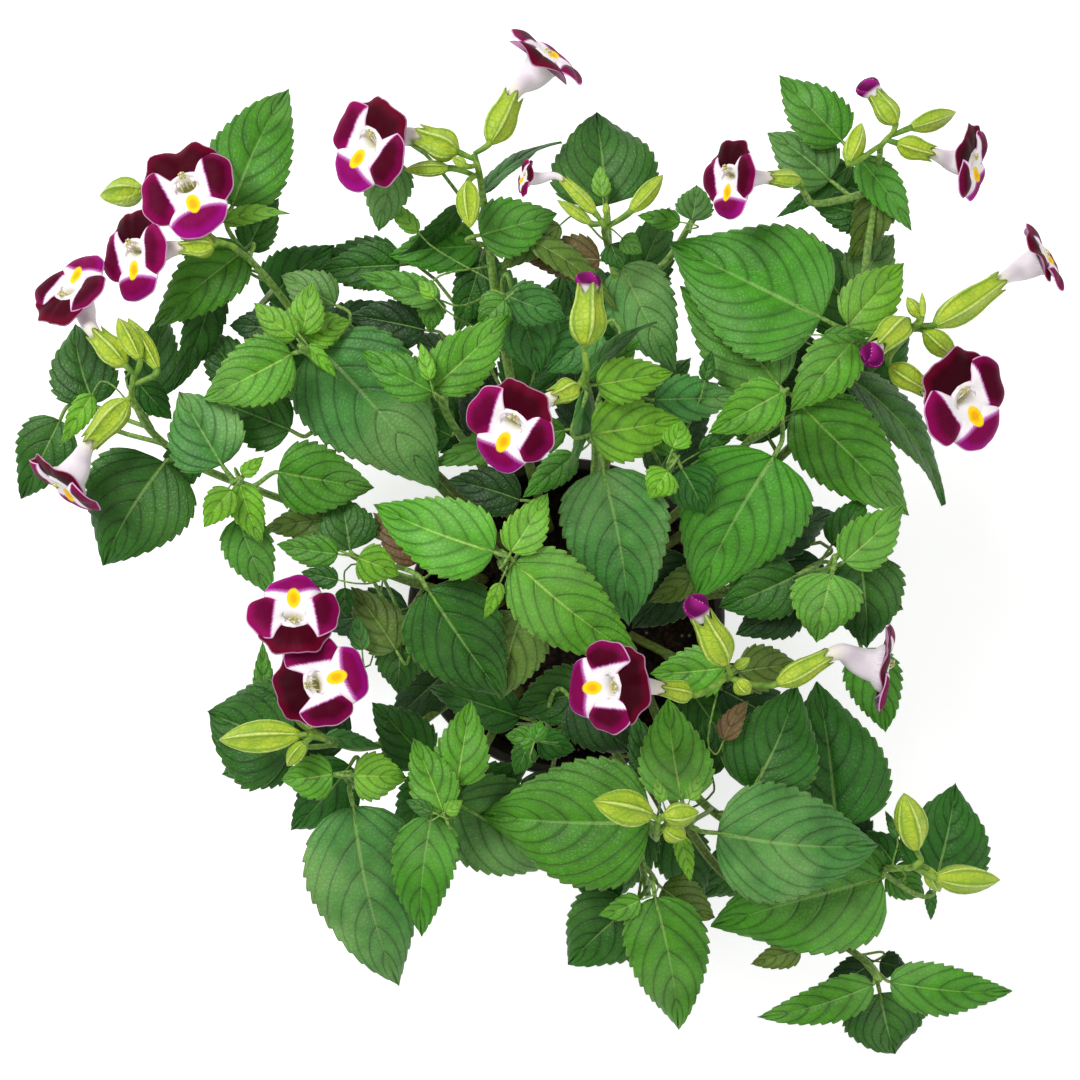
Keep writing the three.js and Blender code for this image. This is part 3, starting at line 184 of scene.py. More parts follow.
# Leaves, each: stem, base x and y px, tip x and y px, width mm, layer below the dome, tone,
# fall of the tip in mm, roll about the midrib in degrees.
LEAF_ROWS = [
    ["nw", 232, 206, 289, 85, 27, 1, "mid", 10, 0],
    ["nw", 224, 222, 290, 212, 7, 0, "young", 4, 20],
    ["nw", 248, 250, 279, 197, 13, 2, "dark", 5, 0],
    ["nw", 245, 250, 150, 328, 20, 1, "mid", 10, 0],
    ["nw", 215, 280, 175, 392, 14, 2, "dark", 10, 35],
    ["s1", 292, 354, 200, 399, 21, 0, "bright", 8, 0],
    ["s1", 296, 338, 253, 302, 10, 0, "young", 3, 0],
    ["s1", 302, 335, 312, 281, 12, 0, "young", 4, 0],
    ["s1", 305, 335, 352, 320, 12, 0, "young", 4, 0],
    ["s1", 317, 346, 440, 491, 40, 1, "blue", 12, 0],
    ["s1", 335, 305, 280, 275, 15, 2, "dull", 4, 0],
    ["s1", 290, 430, 215, 400, 20, 3, "dark", 6, 0],
    ["s1", 240, 380, 205, 332, 16, 3, "dark", 5, 0],
    ["s1", 285, 330, 228, 325, 13, 3, "darkest", 4, 0],
    ["w", 278, 472, 375, 488, 23, 1, "mid", 6, 0],
    ["w", 330, 520, 262, 530, 11, 2, "olive", 5, 0],
    ["w", 222, 465, 178, 390, 25, 1, "blue", 8, 0],
    ["w", 232, 490, 203, 528, 10, 0, "young", 4, 0],
    ["w", 240, 485, 262, 545, 11, 0, "young", 5, 0],
    ["w", 238, 518, 271, 597, 16, 1, "mid", 9, 0],
    ["w", 200, 430, 160, 510, 14, 3, "dark", 7, 0],
    ["w", 94, 404, 74, 322, 22, 2, "dark", 7, 0],
    ["w", 92, 395, 60, 445, 8, 0, "young", 4, 0],
    ["w", 60, 420, 20, 500, 20, 2, "dark", 8, 0],
    ["w", 165, 462, 102, 567, 36, 2, "dark", 10, 0],
    ["w", 140, 385, 172, 420, 11, 2, "dark", 4, 0],
    ["n", 392, 160, 378, 232, 16, 1, "blue", 6, 0],
    ["n", 418, 232, 385, 198, 6, 1, "young", 3, 0],
    ["n", 484, 192, 560, 138, 13, 1, "dark", 5, 60],
    ["n", 460, 207, 400, 258, 11, 1, "dark", 5, 58],
    ["n", 478, 246, 387, 256, 17, 1, "mid", 7, 0],
    ["n", 480, 235, 558, 213, 19, 1, "mid", 6, 0],
    ["n", 400, 265, 318, 270, 16, 2, "dark", 6, 0],
    ["n", 440, 300, 357, 273, 10, 1, "mid", 5, 0],
    ["n", 432, 298, 430, 333, 9, 1, "mid", 3, 0],
    ["n", 480, 262, 455, 335, 13, 2, "dark", 6, 0],
    ["n", 505, 300, 478, 325, 12, 1, "mid", 3, 0],
    ["n", 508, 296, 567, 318, 14, 1, "blue", 5, 0],
    ["n", 512, 290, 541, 375, 25, 1, "blue", 6, 0],
    ["n", 530, 240, 619, 309, 10, 1, "olive", 6, 25],
    ["n2", 607, 205, 596, 110, 34, 2, "dark", 10, 0],
    ["n2", 611, 244, 622, 270, 9, 1, "dark", 3, 0],
    ["n2", 680, 222, 637, 215, 7, 1, "mid", 3, 0],
    ["n2", 692, 220, 697, 184, 12, 2, "dull", 4, 0],
    ["n2", 560, 225, 495, 272, 9, 2, "olive", 5, 0],
    ["n2", 600, 260, 527, 262, 15, 3, "brown", 6, 0],
    ["n2", 622, 266, 676, 373, 23, 2, "blue", 8, 0],
    ["s2", 433, 392, 360, 350, 14, 0, "mid", 5, 0],
    ["s2", 433, 388, 510, 313, 18, 0, "bright", 7, 0],
    ["s2", 425, 330, 345, 315, 15, 3, "darkest", 5, 0],
    ["s2", 451, 436, 415, 420, 15, 3, "dark", 4, 0],
    ["s3", 494, 552, 371, 504, 24, 0, "bright", 12, 0],
    ["s3", 511, 552, 548, 492, 13, 0, "young", 6, 0],
    ["s3", 515, 562, 643, 660, 26, 0, "bright", 14, 0],
    ["s3", 500, 583, 484, 620, 5, 0, "young", 4, 20],
    ["s3", 520, 500, 445, 480, 15, 3, "darkest", 5, 0],
    ["s3", 522, 612, 500, 702, 23, 2, "olive", 8, 0],
    ["s4", 350, 550, 340, 495, 20, 1, "dark", 5, 0],
    ["s4", 358, 558, 400, 575, 12, 0, "young", 4, 0],
    ["s4", 338, 554, 275, 544, 10, 0, "mid", 5, 0],
    ["s4", 418, 562, 372, 512, 12, 2, "brown", 5, 0],
    ["s4", 428, 590, 505, 700, 31, 1, "dark", 12, 0],
    ["s4", 396, 650, 350, 586, 16, 2, "olive", 5, 0],
    ["s4", 401, 642, 398, 695, 15, 2, "dark", 6, 0],
    ["s5", 597, 385, 675, 372, 14, 0, "young", 5, 0],
    ["s5", 591, 434, 682, 418, 20, 1, "young", 7, 0],
    ["s5", 583, 392, 570, 475, 10, 1, "blue", 8, 55],
    ["s5", 586, 380, 655, 318, 12, 1, "dark", 5, 60],
    ["s5", 590, 378, 640, 340, 10, 1, "mid", 4, 0],
    ["s5", 600, 330, 545, 372, 19, 1, "blue", 5, 0],
    ["s5", 565, 430, 425, 467, 14, 2, "mid", 10, 0],
    ["s5", 575, 455, 522, 498, 10, 2, "mid", 5, 0],
    ["s5", 603, 470, 630, 628, 33, 1, "blue", 14, 0],
    ["s6", 673, 448, 683, 420, 9, 0, "young", 3, 0],
    ["s6", 668, 471, 648, 498, 11, 0, "young", 3, 0],
    ["s6", 682, 469, 705, 515, 16, 1, "dark", 6, 0],
    ["s6", 670, 455, 650, 403, 8, 1, "mid", 4, 0],
    ["s6", 655, 400, 742, 398, 15, 2, "blue", 6, 0],
    ["s6", 700, 452, 742, 427, 6, 2, "dark", 3, 0],
    ["ne", 822, 318, 668, 242, 44, 1, "mid", 13, 0],
    ["ne", 852, 342, 790, 412, 18, 1, "bright", 7, 0],
    ["ne", 850, 378, 950, 503, 21, 2, "dark", 10, 42],
    ["ne", 842, 141, 779, 73, 19, 1, "mid", 7, 0],
    ["ne", 830, 180, 767, 132, 20, 2, "dull", 6, 0],
    ["ne", 850, 165, 775, 218, 8, 2, "dark", 6, 0],
    ["ne", 860, 160, 913, 231, 13, 1, "mid", 7, 0],
    ["ne", 870, 215, 811, 203, 15, 3, "dark", 5, 0],
    ["ne", 885, 185, 850, 262, 14, 2, "olive", 6, 0],
    ["ne", 856, 288, 894, 233, 18, 2, "dull", 5, 0],
    ["ne", 848, 326, 906, 262, 18, 1, "young", 7, 0],
    ["ne", 824, 335, 876, 335, 5, 0, "mid", 3, 0],
    ["s7", 780, 386, 679, 284, 28, 2, "mid", 10, 0],
    ["s7", 782, 392, 708, 433, 16, 0, "bright", 6, 0],
    ["s7", 800, 405, 912, 517, 28, 1, "mid", 11, 0],
    ["s7", 774, 456, 695, 600, 40, 1, "mid", 13, 0],
    ["e", 832, 545, 865, 495, 13, 2, "dark", 5, 0],
    ["e", 844, 562, 905, 504, 16, 0, "bright", 5, 0],
    ["e", 832, 574, 816, 643, 22, 0, "bright", 6, 0],
    ["e", 860, 556, 868, 650, 25, 1, "dark", 8, 0],
    ["e", 862, 650, 887, 734, 18, 2, "mid", 8, 0],
    ["e", 797, 575, 718, 608, 20, 2, "dark", 7, 0],
    ["e", 800, 605, 735, 635, 16, 3, "darkest", 6, 0],
    ["e", 700, 572, 648, 603, 10, 2, "olive", 5, 0],
    ["e", 692, 560, 632, 630, 23, 3, "darkest", 8, 0],
    ["k", 725, 668, 649, 674, 16, 1, "bright", 6, 0],
    ["k", 738, 672, 800, 664, 15, 2, "olive", 6, 0],
    ["se", 717, 833, 882, 846, 37, 0, "blue", 14, 0],
    ["se", 752, 790, 797, 684, 30, 1, "dark", 9, 0],
    ["se", 836, 828, 817, 680, 37, 2, "dark", 12, 0],
    ["se", 882, 878, 709, 928, 39, 1, "mid", 15, 0],
    ["se", 800, 950, 750, 965, 9, 2, "olive", 4, 0],
    ["se", 936, 880, 957, 782, 30, 2, "dark", 8, 0],
    ["se", 895, 865, 866, 830, 13, 2, "dark", 4, 0],
    ["se", 890, 870, 925, 897, 13, 2, "mid", 4, 0],
    ["se", 885, 868, 845, 855, 10, 1, "mid", 3, 0],
    ["se", 928, 860, 980, 858, 6, 2, "blue", 4, 0],
    ["sse", 873, 985, 756, 1019, 14, 1, "mid", 9, 0],
    ["sse", 890, 982, 1015, 992, 17, 1, "mid", 9, 0],
    ["sse", 880, 993, 896, 1056, 28, 2, "dark", 6, 0],
    ["sse", 873, 962, 817, 995, 12, 3, "darkest", 5, 0],
    ["sse", 880, 962, 907, 967, 9, 3, "darkest", 3, 0],
    ["s", 650, 822, 478, 815, 41, 1, "mid", 14, 0],
    ["s", 682, 800, 668, 697, 23, 1, "bright", 8, 0],
    ["s", 655, 785, 632, 712, 12, 2, "dark", 7, 0],
    ["s", 712, 775, 705, 715, 10, 3, "dark", 5, 0],
    ["s", 655, 897, 679, 1033, 26, 1, "mid", 13, 0],
    ["s", 632, 905, 567, 966, 27, 2, "dark", 8, 0],
    ["s", 618, 900, 572, 864, 14, 2, "dark", 5, 0],
    ["s", 680, 835, 691, 883, 6, 1, "young", 4, 0],
    ["s", 662, 888, 716, 918, 16, 2, "olive", 6, 0],
    ["s", 538, 742, 576, 750, 10, 3, "dark", 4, 0],
    ["s", 572, 700, 632, 755, 20, 3, "darkest", 6, 0],
    ["s", 595, 690, 512, 711, 20, 3, "dark", 7, 0],
    ["sw", 443, 812, 412, 737, 15, 0, "bright", 7, 0],
    ["sw", 457, 785, 471, 699, 17, 0, "bright", 8, 0],
    ["sw", 432, 815, 421, 940, 20, 1, "mid", 12, 0],
    ["sw", 455, 802, 575, 864, 31, 2, "dull", 10, 0],
    ["sw", 462, 798, 530, 765, 16, 3, "dark", 6, 0],
    ["sw", 520, 717, 425, 687, 15, 3, "dark", 7, 0],
    ["swo", 333, 774, 280, 780, 14, 0, "bright", 5, 0],
    ["swo", 354, 776, 408, 778, 15, 0, "young", 6, 0],
    ["swo", 353, 806, 399, 991, 36, 1, "blue", 16, 0],
    ["swo", 427, 762, 371, 702, 18, 2, "dark", 5, 0],
    ["swo", 326, 736, 382, 747, 6, 1, "blue", 3, 0],
    ["swo", 292, 742, 206, 712, 36, 2, "dark", 8, 0],
    ["swo", 292, 752, 220, 775, 17, 3, "dark", 7, 0],
    ["swo", 264, 706, 262, 640, 7, 2, "mid", 4, 0],
    ["n2", 588, 440, 568, 345, 17, 8, "darkest", 12, 0],
    ["s7", 655, 478, 712, 392, 19, 8, "darkest", 13, 0],
    ["e", 742, 548, 838, 512, 20, 8, "darkest", 14, 0],
    ["k", 722, 690, 806, 738, 19, 8, "darkest", 13, 0],
    ["s", 552, 772, 532, 862, 20, 8, "darkest", 13, 0],
    ["swo", 444, 674, 392, 722, 17, 8, "darkest", 10, 0],
    ["s4", 408, 608, 314, 622, 18, 8, "darkest", 13, 0],
    ["s2", 500, 462, 458, 376, 15, 8, "darkest", 12, 0],
    ["sse", 612, 775, 640, 868, 15, 9, "darkest", 12, 0],
]

# Leaves too small for the part's own solids, in the same columns
SMALL_LEAF_ROWS = [
    ["s1", 308, 345, 338, 378, 5, 0, "young", 3, 20],
    ["w", 242, 475, 264, 456, 5, 0, "young", 2, 0],
    ["n", 435, 298, 418, 280, 5, 0, "young", 2, 0],
    ["n2", 603, 197, 600, 165, 6, 1, "young", 2, 0],
    ["n2", 622, 238, 642, 254, 7, 1, "mid", 2, 0],
    ["s2", 430, 380, 420, 342, 5, 0, "young", 3, 0],
    ["s4", 362, 650, 357, 615, 6, 1, "blue", 2, 0],
    ["s4", 338, 580, 300, 572, 7, 2, "dark", 3, 0],
    ["s4", 345, 588, 346, 618, 6, 2, "dark", 3, 0],
    ["s6", 705, 380, 712, 350, 5, 2, "dark", 2, 0],
    ["k", 724, 740, 748, 700, 8, 3, "brown", 5, 30],
    ["se", 897, 838, 885, 810, 3.5, 2, "dark", 3, 0],
    ["se", 930, 890, 931, 921, 4, 2, "dark", 4, 0],
    ["s", 640, 900, 598, 916, 8, 1, "bright", 3, 0],
    ["s", 663, 802, 656, 777, 4, 0, "young", 2, 0],
    ["s", 690, 800, 701, 774, 5, 0, "young", 2, 0],
    ["s", 535, 740, 505, 735, 8, 2, "mid", 3, 0],
    ["s", 535, 740, 541, 720, 6, 1, "mid", 2, 0],
    ["s", 528, 744, 515, 776, 8, 2, "dark", 3, 0],
    ["sw", 432, 812, 405, 800, 5, 1, "dark", 2, 0],
    ["sw", 445, 812, 463, 800, 5, 0, "young", 2, 0],
]

# Shaded leaves low in the canopy that fill it out, in the same columns; their dark and darkest tones are
# painted shade
SHADED_LEAF_ROWS = [
    ["w", 150, 398, 166, 312, 18, 4, "dark", 8, 0],
    ["w", 200, 455, 215, 410, 16, 5, "darkest", 5, 0],
    ["nw", 268, 300, 335, 244, 20, 4, "dark", 7, 0],
    ["nw", 300, 325, 282, 262, 16, 5, "darkest", 6, 0],
    ["n", 400, 262, 302, 262, 18, 5, "dark", 7, 0],
    ["s1", 335, 335, 268, 402, 22, 5, "dark", 8, 0],
    ["s1", 330, 352, 392, 300, 20, 5, "darkest", 8, 0],
    ["s2", 470, 445, 415, 386, 20, 5, "dark", 8, 0],
    ["s2", 490, 400, 410, 330, 20, 6, "darkest", 8, 0],
    ["n", 525, 400, 562, 270, 26, 5, "dark", 9, 0],
    ["n", 500, 330, 470, 240, 20, 5, "dark", 8, 0],
    ["n2", 620, 340, 560, 255, 22, 5, "dark", 8, 0],
    ["n2", 630, 300, 670, 205, 20, 5, "dark", 8, 0],
    ["s5", 620, 445, 692, 356, 22, 5, "dark", 8, 0],
    ["ne", 868, 330, 796, 232, 28, 5, "dark", 9, 0],
    ["ne", 848, 400, 712, 330, 24, 6, "darkest", 9, 0],
    ["ne", 850, 395, 912, 330, 20, 5, "dark", 7, 0],
    ["ne", 868, 225, 812, 150, 18, 5, "dark", 8, 0],
    ["s7", 770, 440, 738, 370, 22, 5, "dark", 8, 0],
    ["s7", 830, 420, 902, 505, 20, 5, "dark", 8, 0],
    ["e", 820, 560, 760, 610, 18, 5, "darkest", 7, 0],
    ["e", 840, 570, 905, 610, 20, 5, "dark", 7, 0],
    ["k", 690, 690, 742, 772, 22, 6, "dark", 9, 0],
    ["k", 700, 680, 770, 700, 18, 6, "darkest", 8, 0],
    ["swo", 350, 765, 290, 832, 20, 4, "dark", 8, 0],
    ["swo", 345, 745, 262, 690, 22, 5, "darkest", 8, 0],
    ["sw", 440, 775, 396, 842, 18, 5, "dark", 8, 0],
    ["sw", 470, 790, 452, 868, 20, 5, "dark", 8, 0],
    ["s", 640, 822, 612, 905, 20, 4, "dark", 8, 0],
    ["s", 668, 826, 704, 902, 20, 4, "dark", 8, 0],
    ["s", 600, 800, 560, 862, 18, 5, "darkest", 8, 0],
    ["se", 770, 840, 700, 900, 22, 5, "dark", 8, 0],
    ["se", 850, 862, 800, 780, 26, 5, "darkest", 9, 0],
]

# Racemes. stem: leafy stem and its path that the raceme grows from. axis: points [x px, y px, rise mm]
# above the dome. Each calyx: base and tip px, width and rise mm, and what it holds: a closed calyx
# holds nothing, "flower" an open corolla and "bud" a corolla still rolled up.
RACEMES = {
    "a": {"stem": ["nw", 0], "axis": [[222, 243, 9], [208, 238, 10]], "calyces": [
        {"base": [214, 246], "tip": [187, 247], "width": 9, "rise": 10,
         "flower": {"face": [132, 254], "rise": 17, "lean": 34, "lip": [-0.1, 1, 0]}},
        {"base": [206, 236], "tip": [198, 216], "width": 8, "rise": 8,
         "flower": {"face": [187, 188], "rise": 22, "lean": 10, "lip": [-0.38, 0.92, 0], "size": 1.08}},
        {"base": [143, 190], "tip": [100, 196], "width": 11.5, "rise": 5}]},
    "b": {"stem": ["w", 1], "axis": [[132, 388, 7], [134, 374, 9]], "calyces": [
        {"base": [125, 365], "tip": [99, 338], "width": 10.5, "rise": 11,
         "flower": {"face": [68, 287], "rise": 18, "lean": 42, "lip": [-0.2, -1, 0], "size": 0.95}},
        {"base": [140, 360], "tip": [118, 318], "width": 8, "rise": 10},
        {"base": [158, 370], "tip": [128, 318], "width": 7, "rise": 5},
        {"base": [128, 400], "tip": [94, 438], "width": 11, "rise": 9,
         "flower": {"face": [62, 488], "rise": 12, "lean": 76, "lip": [-0.3, 0.2, 1]}}]},
    "d": {"stem": ["n", 0], "axis": [[478, 168, 8], [474, 154, 10]], "calyces": [
        {"base": [490, 143], "tip": [510, 101], "width": 11.5, "rise": 12,
         "flower": {"face": [549, 54], "rise": 15, "lean": 72, "lip": [0.1, 0.2, 1]}},
        {"base": [458, 152], "tip": [424, 138], "width": 12, "rise": 11,
         "flower": {"face": [366, 144], "rise": 17, "lean": 34, "lip": [0.7, 0.7, 0], "size": 1.05}},
        {"base": [450, 168], "tip": [404, 170], "width": 6, "rise": 5},
        {"base": [468, 182], "tip": [470, 228], "width": 9, "rise": 7},
        {"base": [466, 166], "tip": [452, 158], "width": 4, "rise": 14}]},
    "e": {"stem": ["n2", 0], "axis": [[604, 226, 6], [600, 219, 8]], "calyces": [
        {"base": [596, 214], "tip": [565, 182], "width": 5.5, "rise": 9,
         "flower": {"face": [524, 177], "rise": 12, "lean": 72, "lip": [0.2, 0.3, 1], "size": 0.42}},
        {"base": [592, 224], "tip": [557, 200], "width": 4.5, "rise": 5},
        {"base": [606, 214], "tip": [606, 203], "width": 3, "rise": 9},
        {"base": [630, 212], "tip": [663, 175], "width": 7, "rise": 7}]},
    "f": {"stem": ["ne", 1], "axis": [[802, 186, 7]], "calyces": [
        {"base": [800, 180], "tip": [772, 178], "width": 7, "rise": 9,
         "flower": {"face": [727, 178], "rise": 14, "lean": 55, "lip": [0.1, 1, 0], "size": 0.86}}]},
    "g": {"stem": ["ne", 0], "axis": [[884, 142, 7], [892, 134, 9]], "calyces": [
        {"base": [896, 124], "tip": [877, 97], "width": 9, "rise": 12,
         "bud": {"tip": [862, 81], "rise": 14}},
        {"base": [910, 128], "tip": [956, 112], "width": 8, "rise": 10},
        {"base": [897, 143], "tip": [928, 152], "width": 9, "rise": 9,
         "flower": {"face": [975, 164], "rise": 15, "lean": 62, "lip": [0.1, 0.5, 1], "size": 0.88}},
        {"base": [848, 163], "tip": [862, 123], "width": 8, "rise": 4}]},
    "h": {"stem": ["ne", 2], "axis": [[912, 327, 7], [920, 325, 9]], "calyces": [
        {"base": [935, 325], "tip": [994, 285], "width": 11.5, "rise": 10,
         "flower": {"face": [1047, 256], "rise": 14, "lean": 70, "lip": [0.2, 0.4, 1], "size": 0.86}},
        {"base": [890, 366], "tip": [922, 386], "width": 9.5, "rise": 4,
         "flower": {"face": [968, 401], "rise": 14, "lean": 26, "lip": [-0.6, 0.8, 0], "size": 1.12}},
        {"base": [906, 320], "tip": [880, 345], "width": 11, "rise": 12,
         "bud": {"tip": [867, 362], "rise": 12}},
        {"base": [920, 318], "tip": [907, 297], "width": 5, "rise": 9},
        {"base": [923, 318], "tip": [922, 292], "width": 2.5, "rise": 13},
        {"base": [924, 330], "tip": [956, 358], "width": 9, "rise": 7}]},
    "i": {"stem": ["s5", 0], "axis": [[586, 368, 12], [585, 352, 14]], "calyces": [
        {"base": [585, 345], "tip": [588, 296], "width": 13.5, "rise": 16,
         "bud": {"tip": [588, 272], "rise": 17}},
        {"base": [578, 386], "tip": [556, 396], "width": 9, "rise": 11,
         "flower": {"face": [510, 427], "rise": 19, "lean": 28, "lip": [0.5, 0.85, 0]}}]},
    "j": {"stem": ["swo", 1], "axis": [[322, 738, 5], [308, 734, 8]], "calyces": [
        {"base": [300, 735], "tip": [219, 740], "width": 12, "rise": 8},
        {"base": [305, 742], "tip": [287, 766], "width": 6.5, "rise": 9},
        {"base": [309, 728], "tip": [314, 708], "width": 7, "rise": 4,
         "flower": {"face": [320, 682], "rise": 17, "lean": 14, "lip": [-0.95, -0.3, 0]}},
        {"base": [296, 716], "tip": [292, 686], "width": 7, "rise": 2,
         "flower": {"face": [294, 612], "rise": 13, "lean": 38, "lip": [0.05, -1, 0]}}]},
    "k": {"stem": ["k", 0], "axis": [[728, 678, 8], [731, 676, 11]], "calyces": [
        {"base": [726, 664], "tip": [704, 622], "width": 12, "rise": 15,
         "bud": {"tip": [691, 596], "rise": 16}},
        {"base": [692, 695], "tip": [664, 689], "width": 8, "rise": 9,
         "flower": {"face": [606, 687], "rise": 17, "lean": 40, "lip": [1, 0.05, 0]}},
        {"base": [736, 680], "tip": [750, 694], "width": 6.5, "rise": 12},
        {"base": [734, 668], "tip": [750, 658], "width": 4, "rise": 13},
        {"base": [777, 684], "tip": [824, 658], "width": 9, "rise": 8,
         "flower": {"face": [888, 668], "rise": 9, "lean": 84, "lip": [0.1, 0.6, 1]}}]},
    "m": {"stem": ["s", 0], "axis": [[657, 828, 8], [658, 820, 10]], "calyces": [
        {"base": [652, 815], "tip": [593, 801], "width": 13, "rise": 11},
        {"base": [664, 816], "tip": [699, 812], "width": 9, "rise": 13},
        {"base": [664, 827], "tip": [686, 838], "width": 8, "rise": 7}]},
    "n": {"stem": ["se", 0], "axis": [[916, 865, 8], [922, 860, 9]], "calyces": [
        {"base": [916, 849], "tip": [904, 793], "width": 12, "rise": 11},
        {"base": [936, 878], "tip": [1000, 880], "width": 11, "rise": 9},
        {"base": [927, 868], "tip": [940, 892], "width": 6, "rise": 5}]},
}

# Leaf detail: lengths in mm, the rest as shares of the blade's length or width, or of half its width
SMALL_LEAF_CLEARANCE = 1.2
SMALL_LEAF_LENGTH = 22
FEWEST_TEETH = 5
MOST_TEETH = 12
TEETH_AT_LENGTH_0 = 4
TOOTH_PITCH = 6.5
FIRST_TOOTH = 0.06
TOOTHED_SPAN = 0.88
TOOTH_SHAPE = [(0, 0), (0.3, 0.45), (0.62, 0.85), (0.85, 1)]
TOOTH_DEPTH = 0.06
TOOTH_DEPTH_LIMITS = (0.25, 1.1)
TOOTH_LEAN = 0.25
FEWEST_VEINS = 3
MOST_VEINS = 6
VEINS_AT_LENGTH_0 = 2.6
VEIN_PITCH = 19
VEINED_SPAN = 0.92
VEIN_START_SLOPE = 0.55
VEIN_ARCH = 1.15
QUILT_HEIGHT = 0.04
QUILT_HEIGHT_LIMITS = (0.15, 1.1)
QUILT_FLATNESS = 0.4
QUILT_SINK = 0.6
BLADE_BELLY = 0.28
BLADE_FOOT_POWER = 0.42
BLADE_TIP_POWER = 1.08
BLADE_SPREAD = 1.1
BLADE_BEND = 0.03
BLADE_WAVE = 0.035
BLADE_WAVES = 1.8
BLADE_TWIST = 0.02
TIP_CURL = 0.05
MARGIN_DROP = 0.08
RIB_GROOVE = 0.6
RIB_GROOVE_WIDTH = 0.07
RIB_RIDGE = 0.5
RIB_RIDGE_WIDTH = 0.06
PETIOLE_FULL_WIDTH = 22
PETIOLE_SLIMMEST = 0.35
PETIOLE_ROOT_SWELL = 1.25
PETIOLE_UNDER_RIB = [(0.004, 0.95), (0.08, 0.8), (0.2, 0.6), (0.35, 0.35)]
# Painted sheen: a pale grey-green mixed over each tone in patches, strongest on blue and dull leaves
LEAF_PAINTED_SHEEN = {"blue": 0.55, "dull": 0.4, "young": 0.3, "bright": 0.3, "dark": 0.12, "darkest": 0.05}
PAINTED_SHEEN_COLOUR = 0x8FBE6C
FINE_COLUMNS = np.array([0, 0.05, 0.13, 0.25, 0.4, 0.56, 0.72, 0.86, 0.96, 1])
COARSE_COLUMNS = np.array([0, 0.09, 0.26, 0.5, 0.74, 0.93, 1])

# Stems and racemes in detail, in mm
STEM_BURIED = 6
STEM_COLLAR = 3
STEM_STEPS = 8
STEM_SIDES = 16
STEM_RIBS = 0.08
BRANCH_SWELL = 1.25
HEIGHT_COST = 0.6
DROOP_COST = 20
PETIOLE_PULL = 0.8
PETIOLE_STEPS = 6
PETIOLE_SIDES = 8
PETIOLE_SINK = 0.35
RACEME_GAP = 0.05
RACEME_FOOT = 1.5
RACEME_TIP_RADIUS = 1
RACEME_STEPS = 20
RACEME_SIDES = 12
RACEME_RIBS = 0.06
PEDICEL_STEPS = 8
PEDICEL_SIDES = 10
HELD_TIP_RISE = 2

# Beads that stand for racemes, calyces and corollas while the leaves settle, in mm or shares
RACEME_SPANS = 6
BEAD_SPACING = 4
CALYX_BEAD_START = 0.3
CALYX_BEAD_SHARE = 0.46
BUD_BEAD_RADIUS = 4
BUD_BEAD_SPACING = 3
TUBE_BEAD_PLACES = (0.1, 0.4, 0.7, 1)
TUBE_BEAD_RADIUS = 2.4
TUBE_BEAD_GROWTH = 2.6
THROAT_BEAD_SINK = 1.2
FACE_BEADS = 12
FACE_BEAD_REACHES = (0.5, 0.95)
FACE_BEAD_SINK = 0.5
FACE_BEAD_RADIUS = 1.2

# Flower detail in mm at full size, and angles in degrees. Funnel and plate rings: half width,
# upper and lower reach, level and how deep, from the tube to the plate's rim and into the throat.
CALYX_TOOTH = 2.2
CALYX_TOOTH_START = 0.8
CALYX_WING = 0.28
CALYX_WINGED = (0.06, 0.97)
CALYX_FURROW = 0.72
ROOT_DIP = 0.5
TUBE_FOLD = 0.05
FUNNEL_RINGS = [
    (6.6, 6.4, -6.6, -4.2, 0.93),
    (7.6, 7, -7.6, -3.2, 0.96),
    (8.2, 6.6, -8.3, -1.8, 1),
]
PLATE_RINGS = [
    (8.3, 5.4, -8.5, -0.9, 0),
    (7.6, 4.9, -8, -0.3, 0),
    (6.4, 4.6, -6.9, -0.05, 0),
    (5.3, 4.3, -4.8, -0.15, 0),
    (4.4, 4.1, -2.7, -0.5, 0.1),
    (3.7, 3.9, -1.2, -1.3, 0.3),
    (3.1, 3.7, -0.4, -2.6, 0.55),
    (2.6, 3.5, 0.1, -4.2, 0.8),
    (1.9, 3.1, 0.6, -6, 1),
]
# Lobes: where a lobe leaves the plate and how far it reaches, how much its shoulders fall off, its half
# span in degrees, its level and slope, and its swell, curl, folds and rippled, notched rim.
LOBES = {
    "upper": {
        "root": 3.8, "reach": 15.6, "shoulder": 0.14, "span": 66, "level": -1, "slope": -0.3, "swell": 0.5,
        "recurve": 1.3, "side_recurve": 0.4, "ruffle": 1.2, "folds": 6.5, "crease": 1.2,
        "ripple": 0.032, "ripples": 15, "phase": 1.2, "notch": 0.12, "wave": 0.03,
    },
    "side": {
        "root": 4.6, "reach": 15.4, "shoulder": 0.24, "span": 50, "level": -0.3, "slope": 0.5, "swell": 1,
        "recurve": 1.5, "side_recurve": 0.7, "ruffle": 0.5, "folds": 5, "crease": 0.3,
        "ripple": 0.014, "ripples": 11, "phase": 0.4, "notch": 0, "wave": 0.035,
    },
    "lower": {
        "root": 6.2, "reach": 16.2, "shoulder": 0.24, "span": 52, "level": 0, "slope": 0.5, "swell": 1,
        "recurve": 1.7, "side_recurve": 0.9, "ruffle": 0.4, "folds": 5, "crease": 0.4,
        "ripple": 0.012, "ripples": 12, "phase": 1.9, "notch": 0.03, "wave": 0.03,
    },
}
